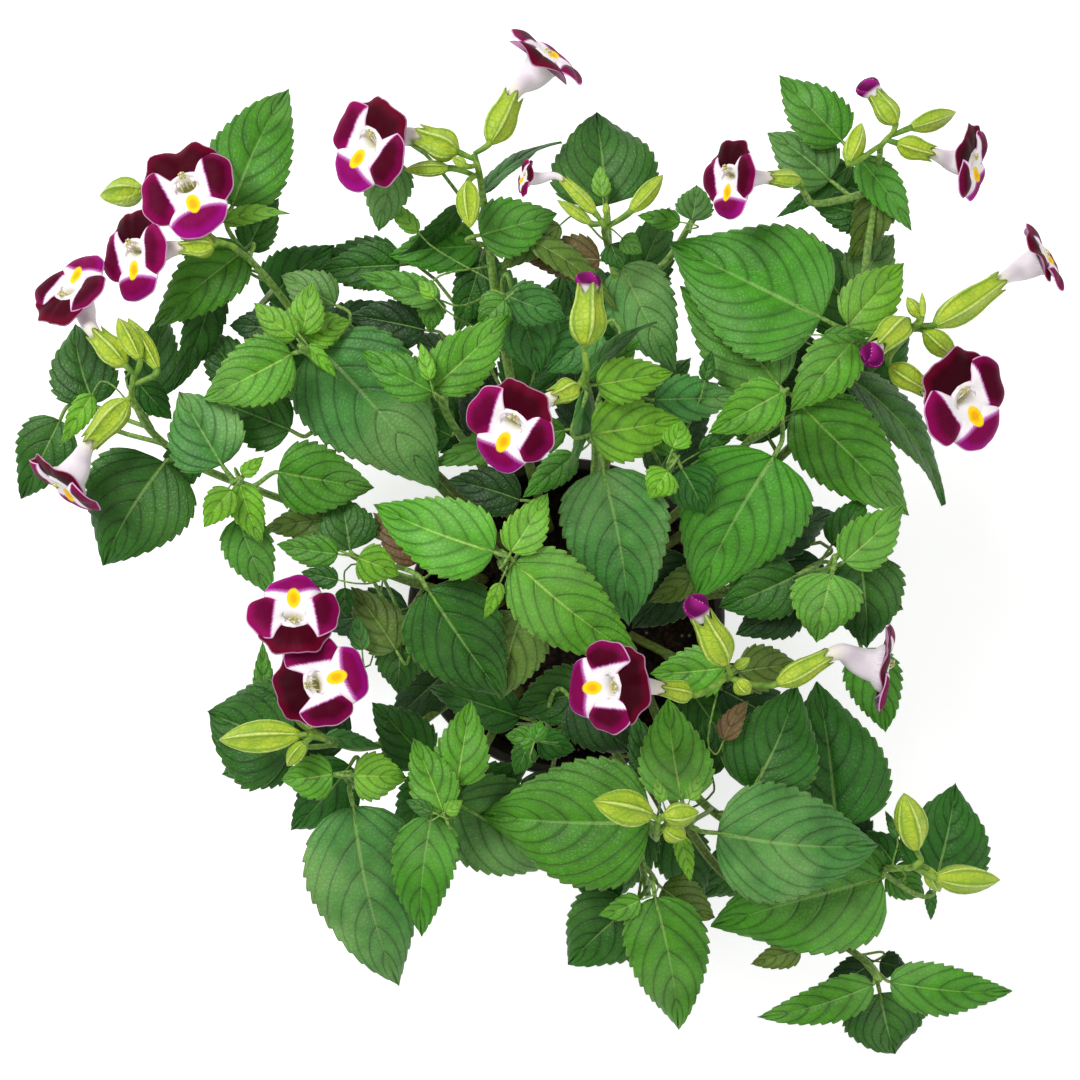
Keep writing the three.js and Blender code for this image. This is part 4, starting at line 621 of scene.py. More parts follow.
# Lobe colours: middle, rim and the blush beside the white, where the white ends as shares of the
# face's radius, and how strong the pale line along the margin is.
LOBE_LOOKS = {
    "upper": {
        "deep": 0x34000E, "bright": 0x6C0226, "blush": 0x9C4A84, "white": (0.25, 0.33), "line": 0.55,
    },
    "side": {
        "deep": 0x4A001C, "bright": 0x96085A, "blush": 0xB850AA, "white": (0.42, 0.47), "line": 1,
    },
    "lower": {
        "deep": 0x7A0448, "bright": 0xB41698, "blush": 0xC870C0, "white": (0.47, 0.57), "line": 1,
    },
}
WHITE_EDGE = 0.03
SIDE_WHITE_SLANT = 0.12
LOWER_WHITE_BOW = 0.35
BACK_WHITE = (0.5, 0.72)
BLOTCH_PLACE = 0.36
BLOTCH_LENGTH = 0.225
BLOTCH_WIDTH = 0.148

# Leaf surface. Scales are waves or cells a metre, bands the two values that a shade eases between,
# and shares how much of it shows.
LEAF_ROUGHNESS = (0.36, 0.54)
LEAF_ROUGHNESS_SCALE = 140
VEIN_WANDER = (-0.02, 0.02)
VEIN_WANDER_SCALE = 260
VEIN_BAND = (0.006, 0.045)
VEIN_FADE = (0.8, 1)
VEIN_SHADE = 0.38
YOUNG_VEIN_SHARE = 0.42
OLD_VEIN_SHARE = 0.5
# Painted highlight on the cushions between the veins
CUSHION_HIGHLIGHT_BAND = (0.02, 0.3)
CUSHION_HIGHLIGHT_SHARE = 0.2
MOTTLE_SCALE = 90
MOTTLE_RANGE = (-0.2, 1.0)
PATCH_BAND = (0.1, 0.95)
DARK_PATCH = 0.55
LIGHT_PATCH = 1.4
# Patches of painted sheen
PAINTED_SHEEN_SCALE = 30
PAINTED_SHEEN_BAND = (0.42, 0.72)
USUAL_PAINTED_SHEEN = 0.22
NET_SCALE = 620
NET_BAND = (0.02, 0.16)
NET_SHARE = 0.2
RIB_EDGE = (0.042, 0.012)
RIB_SHARE = (0.6, 0.2)
MARGIN_BAND = (0.95, 1)
MARGIN_SHARE = 0.45
HUE_RANGE = (0.497, 0.506)
BRIGHTNESS_RANGE = (1.0, 1.16)
UNDERSIDE_SATURATION = 0.72
UNDERSIDE_BRIGHTNESS = 1.25
UNDERSIDE_SHARE = 0.8
VEIN_BUMP = 0.6
NET_BUMP = 0.22
MOTTLE_BUMP = 0.5

# Petal surface, in shares of the face's radius
RIM_GLOW = (0.03, 0.26)
RIM_LINE = (0.008, 0.026)
STREAK_RANGE = (-0.15, 0.15)
STREAK_SHIFT = (-0.035, 0.035)
PETAL_ROUGHNESS = (0.45, 0.65)
BLOTCH_EDGE = (0.75, 1.15)
BLOTCH_MIDDLE = (0.05, 0.5)

# Colours of stems, calyces, flowers, pot and soil
YOUNG_RIB = 0xB9D06A
OLD_RIB = 0x8FB162
STEM_SHADE = 0x4F7A2C
STEM_LIGHT = 0x86A94A
STEM_FOOT = 0x5A4428
CALYX_LIGHT = 0xB4C830
CALYX_SHADE = 0x92B428
CALYX_GROOVE = 0x5F8A22
# Painted highlight along the calyx keels
CALYX_CREST_HIGHLIGHT = 0xE6EE9A
CALYX_VEIN = 0x6F9428
CALYX_TIP = 0x7A8A3A
STALK_SHADE = 0x4E7A24
STALK_LIGHT = 0x86A83C
BLOTCH_GOLD = 0xFBD51C
BLOTCH_ORANGE = 0xF6B012
PETAL_WHITE = 0xF4EEF0
PETAL_LINE = 0xE9B4DC
PETAL_BACK = 0xC070B4
TUBE_WHITE = 0xF1EBEE
TUBE_BLUSH = 0xDCCBD8
TUBE_FOOT = 0xE9E6B8
# Painted shade inside the throat, from its rim to its depth
THROAT_SHADE_CREAM = 0xE9E6C4
THROAT_DEEP_SHADE = 0xC4C27E
BUD_SHADE = 0x5E0A48
BUD_LIGHT = 0x9A1C7C
BUD_LINE = 0xE7B9DC
BUD_FOOT = 0xEFE3EA
FILAMENT_SHADE = 0xE9E4B0
FILAMENT_LIGHT = 0xF6F2DA
ANTHER_SHADE = 0x9C9440
ANTHER_LIGHT = 0xD2C86A
POT_BLACK = 0x1E1917
POT_SCUFF = 0x2E2724
POT_DUST = 0x5A4A3A
SOIL_CRUMB = 0x2C1E14
# Painted shade in the low gaps between crumbs
SOIL_GAP_SHADE = 0x120C08
SOIL_BARK = 0x4C3826
SOIL_GRAIN = 0x9A8D78

# How finely flowers and calyces are divided: rings along, and points around or across
CALYX_RINGS = 18
CALYX_POINTS_A_KEEL = 10
TUBE_RINGS = 14
RING_POINTS = 48
LOBE_ROWS = 18
LOBE_COLUMNS = 37
BUD_ROWS = 24

# Stamens: side, distance from the middle and height of the arch; the anther and the style as
# places with their radii, in mm.
STAMENS = ((-1, 1.9, 3.1), (1, 1.9, 3.1), (-1, 1.1, 4.3), (1, 1.1, 4.3))
FILAMENT_RADIUS = 0.22
ANTHER_SPOTS = ((0.15, 0), (0.45, 0.1), (0.8, 0.1), (1.15, -0.1))
ANTHER_RADII = (0.2, 0.45, 0.45, 0.15)
STYLE_SPOTS = ((1.4, -4), (3.2, -1.2), (4.6, 0.6), (5, 1.3))
STYLE_RADII = (0.22, 0.22, 0.22, 0.4)

# Pot detail in mm, and the studio in metres and watts
BASE_HOLLOW = 1.2
WALL_STEPS = (0.1, 0.3, 0.5, 0.7, 0.9, 1)
POT_SIDES = 120
DRAIN_SIDES = 24
SOIL_SIDES = 110
SOIL_RINGS = 32
SOIL_WAVES = 14
SOIL_WAVE_HEIGHT = 0.22
LUMP_COUNT = 130
LUMP_SIZES = (0.6, 1.9)
FLOOR_GLOW = 0.42
WORLD_STRENGTH = 0.48
FLOOR_REACH = 3
FLOOR_DROP = 0.0002
KEY_POWER = 17
KEY_PLACE = (-0.75, 0.7, 1.3)
KEY_SIZE = 0.7
FILL_POWER = 6
FILL_PLACE = (0.9, -0.5, 1.2)
FILL_SIZE = 1.2
LIGHT_AIM = (0, 0, 0.12)
PLANT_SEED = 7

CAMERA_X = -(POT_CENTRE_PX[0] - PHOTO_MIDDLE) * (CAMERA_HEIGHT - POT_HEIGHT) / PHOTO_FOCAL
CAMERA_Y = (POT_CENTRE_PX[1] - PHOTO_MIDDLE) * (CAMERA_HEIGHT - POT_HEIGHT) / PHOTO_FOCAL
UP = np.array([0.0, 0.0, 1.0])


def unit(vector):
    return vector / np.linalg.norm(vector)


def new_object(name, data):
    """An object of the scene for a mesh, a lamp's or a camera's data."""
    item = bpy.data.objects.new(name, data)
    bpy.context.scene.collection.objects.link(item)
    return item


def from_photo(px, py, height):
    scale = (CAMERA_HEIGHT - height) / PHOTO_FOCAL
    return np.array([CAMERA_X + (px - PHOTO_MIDDLE) * scale, CAMERA_Y - (py - PHOTO_MIDDLE) * scale, height])


def to_photo(point):
    scale = PHOTO_FOCAL / (CAMERA_HEIGHT - point[2])
    return [PHOTO_MIDDLE + (point[0] - CAMERA_X) * scale, PHOTO_MIDDLE - (point[1] - CAMERA_Y) * scale]


def dome_height(px, py):
    reach = math.hypot(px - DOME_CENTRE_PX[0], py - DOME_CENTRE_PX[1]) / DOME_REACH_PX
    return DOME_TOP - DOME_FALL * reach * reach


def on_dome(px, py, rise):
    return from_photo(px, py, dome_height(px, py) + rise)


class Curve:
    """A centripetal curve through points, as the part's stems follow."""

    def __init__(self, points):
        self.points = [np.asarray(point, float) for point in points]

    def point(self, along):
        points = self.points
        last = len(points) - 1
        first = min(int(last * along), last - 1)
        weight = last * along - first
        p1, p2 = points[first], points[first + 1]
        p0 = points[first - 1] if first > 0 else 2 * p1 - p2
        p3 = points[first + 2] if first + 2 <= last else 2 * p2 - p1
        pairs = ((p0, p1), (p1, p2), (p2, p3))
        before, span, after = (max(np.dot(b - a, b - a) ** 0.25, 1e-4) for a, b in pairs)
        leave = ((p1 - p0) / before - (p2 - p0) / (before + span) + (p2 - p1) / span) * span
        reach = ((p2 - p1) / span - (p3 - p1) / (span + after) + (p3 - p2) / after) * span
        return hermite(p1, leave, p2, reach, weight)

    def tangent(self, along):
        low, high = max(0, along - 1e-4), min(1, along + 1e-4)
        return unit(self.point(high) - self.point(low))


def hermite(start, leave, end, reach, weight):
    cubic = 2 * start - 2 * end + leave + reach
    square = -3 * start + 3 * end - 2 * leave - reach
    return ((cubic * weight + square) * weight + leave) * weight + start


def bezier(corners, along):
    a, b, c, d = corners
    back = 1 - along
    return back**3 * a + 3 * back**2 * along * b + 3 * back * along**2 * c + along**3 * d


def bezier_tangent(corners, along):
    a, b, c, d = corners
    back = 1 - along
    return unit(back**2 * (b - a) + 2 * back * along * (c - b) + along**2 * (d - c))


# Rings of points and rows of numbers
def full_turn(sides):
    return np.linspace(0, 2 * np.pi, sides, endpoint=False)


def around(turns, right, top):
    """Ways out from a ring's middle, between its right and top axes."""
    return np.cos(turns)[:, None] * right + np.sin(turns)[:, None] * top


def side_by_side(*values):
    """Arrays and single values as the columns of one array."""
    return np.stack(np.broadcast_arrays(*values), axis=-1)


def level_ring(turns, radius, height):
    return side_by_side(radius * np.cos(turns), radius * np.sin(turns), height)


# Stems, petioles and racemes: where each starts, as in the part's source
def stem_curves(name):
    angle, distance = STEMS[name]["root"]
    turn = math.radians(angle)
    foot = np.array([distance * math.cos(turn), distance * math.sin(turn), HOLE_FLOOR + SEAT_GAP])
    curves = []
    for i, path in enumerate(STEMS[name]["paths"]):
        points = [from_photo(*spot) for spot in path]
        if i == 0:
            middle = np.array([foot[0], foot[1], SOIL_LEVEL - STEM_BURIED])
            collar = np.array([foot[0], foot[1], SOIL_LEVEL + SOIL_CROWN + STEM_COLLAR])
            points = [foot, middle, collar] + points
        curves.append(Curve(points))
    return curves


def stem_stations(curve):
    last = len(curve.points) - 1
    stations = [0]
    for i in range(1, last + 1):
        if np.linalg.norm(curve.points[i] - curve.points[i - 1]) > LONG_SPAN:
            stations.append((i - 0.5) / last)
        stations.append(i / last)
    return stations


def places_along(corners, spacing):
    places = []
    for first, second in zip(corners, corners[1:]):
        span = np.linalg.norm(second - first)
        far = spacing / 2
        while far < span - spacing / 2:
            places.append(first + (second - first) * far / span)
            far += spacing
    return places


def petiole_places(curves):
    places = []
    for curve in curves:
        corners = [curve.point(along) for along in stem_stations(curve)]
        places += places_along(corners, PETIOLE_SPACING)
    return [place for place in places if place[2] > LOWEST_NODE]


def claim_place(places, point):
    def cost(place):
        above = place[2] - point[2]
        flat = math.hypot(place[0] - point[0], place[1] - point[1])
        return flat + HEIGHT_COST * abs(above) + (DROOP_COST if above > PETIOLE_DROOP else 0)

    best = min(range(len(places)), key=lambda i: cost(places[i]))
    return places.pop(best) if len(places) > 1 else places[best]


def raceme_axis(raceme):
    stem, path = raceme["stem"]
    curve = stem_curves(stem)[path]
    tangent = curve.tangent(1)
    joint = curve.point(1) + tangent * (SEAT_GAP + RACEME_GAP)
    return Curve([joint, joint + tangent * RACEME_FOOT] + [on_dome(*spot) for spot in raceme["axis"]])


def pedicel_roots(raceme):
    corners = raceme_axis(raceme).points[1:]
    places = places_along(corners, PEDICEL_SPACING) + [corners[-1]]
    return [claim_place(places, calyx_axis(calyx)[0]) for calyx in raceme["calyces"]]


def calyx_axis(calyx):
    rise = HELD_TIP_RISE if "flower" in calyx or "bud" in calyx else 0
    base = on_dome(*calyx["base"], calyx["rise"])
    tip = on_dome(*calyx["tip"], calyx["rise"] + rise)
    return base, tip, unit(tip - base)


class CorollaPlan:
    """Where an open corolla stands: its root in the calyx and the frame of its face."""

    def __init__(self, calyx):
        _, tip, self.along = calyx_axis(calyx)
        bloom = calyx["flower"]
        self.root = tip + self.along * SEAT_GAP
        self.face = on_dome(*bloom["face"], bloom["rise"])
        toward = unit(np.array([self.face[0] - self.root[0], self.face[1] - self.root[1], 0]))
        lean = math.radians(bloom["lean"])
        self.normal = UP * math.cos(lean) + toward * math.sin(lean)
        lip = np.array(bloom["lip"], float)
        self.lip = unit(lip - self.normal * np.dot(lip, self.normal))
        self.across = np.cross(self.lip, self.normal)
        self.size = bloom.get("size", 1)

    def tube(self):
        waist = self.face - self.normal * TUBE_WAIST_DEPTH * self.size
        span = np.linalg.norm(self.root - waist)
        return [
            self.root,
            self.root + self.along * TUBE_PULL * span,
            waist - self.normal * TUBE_PULL * span,
            waist,
        ]

    def swung(self, tangent):
        """The face's across and lip axes, swung from the face's normal to the tube's tangent."""
        axis = np.cross(self.normal, tangent)
        cosine = np.dot(self.normal, tangent)
        return [
            way * cosine + np.cross(axis, way) + axis * np.dot(axis, way) / (1 + cosine)
            for way in (self.across, self.lip)
        ]

    def spot(self, x, y, z):
        """Points of the face: x across, y towards the upper lip and z out of it, in mm at full size."""
        x, y, z = (np.asarray(value, float)[..., None] * self.size for value in (x, y, z))
        return self.face + x * self.across + y * self.lip + z * self.normal


# Beads stand for what the leaves pass under: racemes, calyces and corollas
class Beads:
    def __init__(self):
        self.rows = []
        for raceme in RACEMES.values():
            self.add_raceme(raceme)
        rows = np.array(self.rows)
        self.at, self.height, self.radius = rows[:, :2], rows[:, 2], rows[:, 3]

    def add(self, point, radius):
        self.rows.append([*to_photo(point), point[2], radius])

    def along(self, start, end, radius, spacing):
        count = max(1, math.ceil(np.linalg.norm(end - start) / spacing))
        for i in range(count + 1):
            self.add(start + (end - start) * i / count, radius)

    def add_raceme(self, raceme):
        axis = raceme_axis(raceme)
        for i in range(RACEME_SPANS + 1):
            self.add(axis.point(i / RACEME_SPANS), RACEME_RADIUS)
        for calyx, root in zip(raceme["calyces"], pedicel_roots(raceme)):
            base, tip, along = calyx_axis(calyx)
            self.along(root, base, PEDICEL_RADIUS, BEAD_SPACING)
            start = base + along * calyx["width"] * CALYX_BEAD_START
            self.along(start, tip, calyx["width"] * CALYX_BEAD_SHARE, BEAD_SPACING)
            if "flower" in calyx:
                self.add_corolla(CorollaPlan(calyx))
            if "bud" in calyx:
                end = on_dome(*calyx["bud"]["tip"], calyx["bud"]["rise"])
                self.along(tip, end, BUD_BEAD_RADIUS, BUD_BEAD_SPACING)

    def add_corolla(self, plan):
        for along in TUBE_BEAD_PLACES:
            radius = TUBE_BEAD_RADIUS + TUBE_BEAD_GROWTH * along
            self.add(bezier(plan.tube(), along), radius * plan.size)
        throat = plan.face - THROAT_BEAD_SINK * THROAT_DEPTH * plan.size * plan.normal
        self.add(throat, THROAT_RADIUS * plan.size)
        for i in range(FACE_BEADS):
            turn = 2 * math.pi * i / FACE_BEADS
            for reach in FACE_BEAD_REACHES:
                far = FACE_RADIUS * reach
                spot = plan.spot(far * math.cos(turn), far * math.sin(turn), 0)
                self.add(spot - FACE_BEAD_SINK * plan.normal, FACE_BEAD_RADIUS)


# Leaf blades: u runs from base to tip, s from one margin to the other
def blade_profile(u):
    return 2.68 * u**0.55 * (1 - u) ** 0.95


class Leaf:
    """One leaf of the tables, its frame and the places that stand for it while the leaves settle."""

    def __init__(self, row):
        self.stem, base_x, base_y, tip_x, tip_y, *settings = row
        self.width, self.layer, self.tone, self.fall, self.roll = settings
        self.base = np.array([base_x, base_y], float)
        self.tip = np.array([tip_x, tip_y], float)
        self.way = self.tip - self.base
        self.reach = np.hypot(*self.way)
        self.height = dome_height(base_x, base_y) - LAYER_STEP * self.layer
        self.measure()

    def measure(self):
        """The blade's frame at its present height, and its samples with their photo places."""
        self.foot = from_photo(*self.base, self.height)
        self.along = from_photo(*self.tip, self.height - self.fall) - self.foot
        flat = unit(np.array([self.along[1], -self.along[0], 0]))
        rise = unit(np.cross(flat, self.along))
        roll = math.radians(self.roll)
        self.side = flat * math.cos(roll) + rise * math.sin(roll)
        self.normal = rise * math.cos(roll) - flat * math.sin(roll)
        self.length = np.linalg.norm(self.along)
        self.px_per_mm = PHOTO_FOCAL / (CAMERA_HEIGHT - self.height)
        u, s = np.meshgrid(*BLADE_SAMPLES, indexing="ij")
        self.u, self.s = u.ravel(), s.ravel()
        off = (self.s * self.seen_half_width(self.u) / self.reach)[:, None]
        across = np.array([-self.way[1], self.way[0]])
        self.spots = self.base + self.u[:, None] * self.way + off * across
        self.heights = self.height_at(self.u, self.s)

    def seen_half_width(self, u):
        return math.cos(math.radians(self.roll)) * self.width * blade_profile(u) * self.px_per_mm / 2

    def surface(self, u, across, lift):
        """Points of the blade: u along it, across and lift in mm; the fold and arch are added."""
        lift = lift + LEAF_FOLD * np.abs(across) + LEAF_ARCH * self.length * 4 * u * (1 - u)
        u, across, lift = u[..., None], across[..., None], lift[..., None]
        return self.foot + u * self.along + across * self.side + lift * self.normal

    def height_at(self, u, s):
        return self.surface(u, s * self.width * blade_profile(u) / 2, 0)[..., 2]

    def covers(self, spots, margin):
        """Which photo places lie on the blade or within margin px of it, and their u and s."""
        offset = spots - self.base
        u = offset @ self.way / self.reach**2
        inner = np.clip(u, 0.01, 0.99)
        off = (offset[:, 1] * self.way[0] - offset[:, 0] * self.way[1]) / self.reach
        half = self.seen_half_width(inner) + margin
        hit = (u >= -margin / self.reach) & (u <= 1 + margin / self.reach) & (np.abs(off) <= half)
        return hit, inner, off / half

    def far_from(self, other):
        gap = np.hypot(*((self.base + self.tip - other.base - other.tip) / 2))
        return gap > (self.reach + other.reach) / 2 + (self.width + other.width) * self.px_per_mm / 2 + 8


def highest(values):
    return values.max() if len(values) else -np.inf


def settle(leaf, upper, beads):
    """Takes a leaf down until it clears every bead and every leaf settled before it."""
    sink = 0
    ceiling = beads.height - beads.radius - BEAD_CLEARANCE
    hit, u, s = leaf.covers(beads.at, 1)
    sink = max(sink, highest(leaf.height_at(u[hit], s[hit]) - ceiling[hit]))
    reach = (beads.radius + 1) * PHOTO_FOCAL / (CAMERA_HEIGHT - beads.height)
    gaps = np.linalg.norm(leaf.spots[:, None] - beads.at[None], axis=2)
    over = leaf.heights[:, None] - ceiling[None]
    sink = max(sink, highest(over[gaps < reach[None]]))
    for other in upper:
        if leaf.far_from(other):
            continue
        hit, u, s = other.covers(leaf.spots, 2)
        sink = max(sink, highest(leaf.heights[hit] - other.height_at(u[hit], s[hit]) + LEAF_CLEARANCE))
        hit, u, s = leaf.covers(other.spots, 2)
        sink = max(sink, highest(leaf.height_at(u[hit], s[hit]) - other.heights[hit] + LEAF_CLEARANCE))
    leaf.height -= sink
    leaf.measure()
    upper.append(leaf)


def lift_clear(leaf, lower):
    """Raises a small leaf until it clears the leaves that it lies on."""
    rise = 0
    for other in lower:
        if leaf.far_from(other):
            continue
        hit, u, s = other.covers(leaf.spots, 1)
        rise = max(rise, highest(other.height_at(u[hit], s[hit]) + SMALL_LEAF_CLEARANCE - leaf.heights[hit]))
    leaf.height += rise
    leaf.measure()


# Meshes
class Skin:
    """Gathers one piece: points in mm, faces, a material for each face and two flat maps."""

    def __init__(self):
        self.points, self.maps, self.tints, self.faces, self.uses = [], [], [], [], []
        self.count = 0
        self.materials = []

    def material_number(self, material):
        if material not in self.materials:
            self.materials.append(material)
        return self.materials.index(material)

    def add(self, points, maps, faces, material, tint=0.0):
        self.points.append(points)
        self.maps.append(maps)
        self.tints.append(np.full(len(points), tint))
        self.faces += [[corner + self.count for corner in face] for face in faces]
        self.uses += [self.material_number(material)] * len(faces)
        self.count += len(points)

    def loft(self, rings, maps, material, tint=0.0):
        """A closed skin over rings of points, with a fan to the middle of each end ring."""
        rings, maps = np.asarray(rings, float), np.asarray(maps, float)
        rows, sides = rings.shape[:2]
        index = np.arange(rows * sides).reshape(rows, sides)
        beside = np.roll(index, -1, axis=1)
        quads = np.stack([index[:-1], beside[:-1], beside[1:], index[1:]], axis=-1).reshape(-1, 4)
        start, end = rows * sides, rows * sides + 1
        caps = [[start, b, a] for a, b in zip(index[0], beside[0])]
        caps += [[end, a, b] for a, b in zip(index[-1], beside[-1])]
        points = np.concatenate([rings.reshape(-1, 3), [rings[0].mean(axis=0), rings[-1].mean(axis=0)]])
        flat = np.concatenate([maps.reshape(-1, 4), [maps[0].mean(axis=0), maps[-1].mean(axis=0)]])
        self.add(points, flat, quads.tolist() + caps, material, tint)

    def tube(self, centres, radii, sides, material, ribs=0.0):
        """A round tube, or one with four soft angles where ribs is above 0."""
        centres = np.asarray(centres, float)
        tangents = np.gradient(centres, axis=0)
        tangents /= np.linalg.norm(tangents, axis=1)[:, None]
        right = np.cross(tangents[0], UP if abs(tangents[0][2]) < 0.9 else np.array([1.0, 0, 0]))
        turns = full_turn(sides)
        rings, maps = [], []
        shares = np.linspace(0, 1, len(centres))
        for centre, tangent, radius, share in zip(centres, tangents, radii, shares):
            right = unit(right - tangent * np.dot(right, tangent))
            top = np.cross(tangent, right)
            reach = (radius * (1 + ribs * np.cos(4 * turns)))[:, None]
            rings.append(centre + reach * around(turns, right, top))
            maps.append(side_by_side(share, np.cos(turns), 0, 0))
        self.loft(rings, maps, material)

    def plain_mesh(self, name):
        mesh = bpy.data.meshes.new(name)
        mesh.from_pydata((np.concatenate(self.points) / 1000).tolist(), [], self.faces)
        return mesh

    def to_object(self, name, nodes):
        """The finished piece in metres, riding on the root body in place of the named CAD nodes."""
        mesh = self.plain_mesh(name)
        for material in self.materials:
            mesh.materials.append(material)
        mesh.polygons.foreach_set("material_index", self.uses)
        mesh.polygons.foreach_set("use_smooth", [True] * len(mesh.polygons))
        corners = np.empty(len(mesh.loops), int)
        mesh.loops.foreach_get("vertex_index", corners)
        maps = np.concatenate(self.maps)[corners]
        for layer_name, columns in (("pattern", slice(0, 2)), ("place", slice(2, 4))):
            mesh.uv_layers.new(name=layer_name).data.foreach_set("uv", maps[:, columns].ravel())
        tints = mesh.attributes.new("tint", "FLOAT", "POINT")
        tints.data.foreach_set("value", np.concatenate(self.tints))
        mesh.update()
        piece = new_object(name, mesh)
        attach(piece, "root")
        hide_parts(*nodes)
        return piece


# Leaves in detail
def tooth_stations(teeth):
    """Places along the blade and how far the margin stands out there, 0 in a notch and 1 on a tooth."""
    stations = [(0.004, 0.4), (0.03, 0.4)]
    pitch = TOOTHED_SPAN / teeth
    for i in range(teeth):
        for share, height in TOOTH_SHAPE:
            stations.append((FIRST_TOOTH + pitch * (i + share), height))
    stations += [(FIRST_TOOTH + TOOTHED_SPAN, 0), (0.97, 0.4), (0.996, 0.4)]
    return np.array(stations).T


def add_blade(skin, leaf, material, dice):
    """A leaf blade: toothed, quilted between its side veins, with a ridge under the midrib."""
    teeth = int(np.clip(TEETH_AT_LENGTH_0 + leaf.length / TOOTH_PITCH, FEWEST_TEETH, MOST_TEETH))
    u, tooth = tooth_stations(teeth)
    share = FINE_COLUMNS if leaf.length > SMALL_LEAF_LENGTH else COARSE_COLUMNS
    s = np.concatenate([-share[:0:-1], share])
    u, s = np.meshgrid(u, s, indexing="ij")
    tooth = np.repeat(tooth[:, None], s.shape[1], axis=1)
    profile = (u / BLADE_BELLY) ** BLADE_FOOT_POWER * ((1 - u) / (1 - BLADE_BELLY)) ** BLADE_TIP_POWER
    edge = np.abs(s) ** 8
    depth = np.clip(TOOTH_DEPTH * leaf.width, *TOOTH_DEPTH_LIMITS) * profile**0.7
    half = BLADE_SPREAD * leaf.width * profile / 2
    across = s * half + np.sign(s) * edge * depth * (tooth - 0.45)
    bend = dice.uniform(-BLADE_BEND, BLADE_BEND) * leaf.length
    across = across + bend * 4 * u * (1 - u)
    veins = int(np.clip(round(VEINS_AT_LENGTH_0 + leaf.length / VEIN_PITCH), FEWEST_VEINS, MOST_VEINS))
    forward = 0.5 * leaf.width / leaf.length * np.abs(s) * (VEIN_START_SLOPE + VEIN_ARCH * np.abs(s))
    phase = veins * (u - forward) / VEINED_SPAN
    inside = np.clip(1.15 - np.abs(s), 0, 1) * np.clip(8 * u * (1 - u), 0, 1)
    height = np.clip(QUILT_HEIGHT * leaf.width, *QUILT_HEIGHT_LIMITS)
    cushion = np.abs(np.sin(np.pi * phase)) ** QUILT_FLATNESS - QUILT_SINK
    quilt = height * cushion * inside * np.clip(np.abs(s) * 6, 0, 1)
    groove = -RIB_GROOVE * height * np.exp(-((s / RIB_GROOVE_WIDTH) ** 2))
    start = dice.uniform(0, 2 * math.pi)
    turn = 2 * math.pi * (BLADE_WAVES * u + 0.3 * np.sign(s)) + start
    wave = BLADE_WAVE * leaf.width * s**2 * np.sin(turn)
    twist = BLADE_TWIST * leaf.width * s * np.sin(2 * math.pi * u + start)
    curl = -TIP_CURL * leaf.length * u**4
    lift = quilt + groove + wave + twist + curl - MARGIN_DROP * leaf.width * profile * np.abs(s) ** 3
    level = LEAF_THICKNESS / 2
    ridge = RIB_RIDGE * np.exp(-((s / RIB_RIDGE_WIDTH) ** 2)) * (1 - u)
    lean = TOOTH_LEAN * tooth * edge * depth / leaf.length
    top = leaf.surface(u + lean, across, lift + level * (1 - edge))
    under = leaf.surface(u + lean, across, lift - level * (1 - edge) - ridge)
    maps = side_by_side(phase, s / 2 + 0.5, u, 0)
    below = maps.copy()
    below[..., 3] = 1
    rings = np.concatenate([top, under[:, -2:0:-1]], axis=1)
    flat = np.concatenate([maps, below[:, -2:0:-1]], axis=1)
    skin.loft(rings, flat, material, dice.uniform(-1, 1))


def add_petiole(skin, leaf, root, material):
    """The leaf's stalk from the stem, round behind the blade and on under its midrib."""
    along = unit(leaf.along)
    direct = leaf.foot - root
    reach = np.linalg.norm(direct)
    direct = direct / reach
    foot = min(PETIOLE_FOOT, reach / 2)
    if reach < PETIOLE_BEND and np.dot(direct, along) > 0.2:
        stops = [(root, direct), (root + direct * foot, direct), (leaf.foot, along)]
    else:
        behind = min(0.4 * reach + 1.5, PETIOLE_BEND * 0.5)
        bend = leaf.foot - along * behind - UP * 0.25 * behind
        first = unit(bend - root)
        turning = unit(first + unit(leaf.foot - bend))
        stops = [(root, first), (root + first * foot, first), (bend, turning), (leaf.foot, along)]
    centres = []
    for (start, leave), (end, arrive) in zip(stops, stops[1:]):
        span = np.linalg.norm(end - start)
        pull = (leave * span * PETIOLE_PULL, arrive * span * PETIOLE_PULL)
        for weight in np.linspace(0, 1, PETIOLE_STEPS, endpoint=False):
            centres.append(hermite(start, pull[0], end, pull[1], weight))
    slim = np.clip(leaf.width / PETIOLE_FULL_WIDTH, PETIOLE_SLIMMEST, 1)
    free = np.linspace(PETIOLE_ROOT_SWELL, 1, len(centres))
    under, taper = np.array(PETIOLE_UNDER_RIB).T
    sunk = -PETIOLE_SINK * slim - LEAF_THICKNESS / 2 + 0 * under
    centres += list(leaf.surface(under, 0 * under, sunk))
    skin.tube(centres, PETIOLE_RADIUS * slim * np.concatenate([free, taper]), PETIOLE_SIDES, material)


def leafy_stem(name, leaves, materials, dice):
    curves = stem_curves(name)
    places = petiole_places(curves)
    skin = Skin()
    for i, curve in enumerate(curves):
        start = STEM_RADIUS if i == 0 else STEM_TIP_RADIUS * BRANCH_SWELL
        stations = np.linspace(0, 1, STEM_STEPS * (len(curve.points) - 1) + 1)
        radii = start + (STEM_TIP_RADIUS - start) * stations
        centres = [curve.point(along) for along in stations]
        skin.tube(centres, radii, STEM_SIDES, materials["stem"], STEM_RIBS)
    for leaf in leaves:
        if leaf.stem != name:
            continue
        root = claim_place(places, leaf.foot)
        add_petiole(skin, leaf, root, materials["stem"])
        add_blade(skin, leaf, materials[leaf.tone], dice)
    return skin.to_object("leafy_" + name, ["stem_" + name])


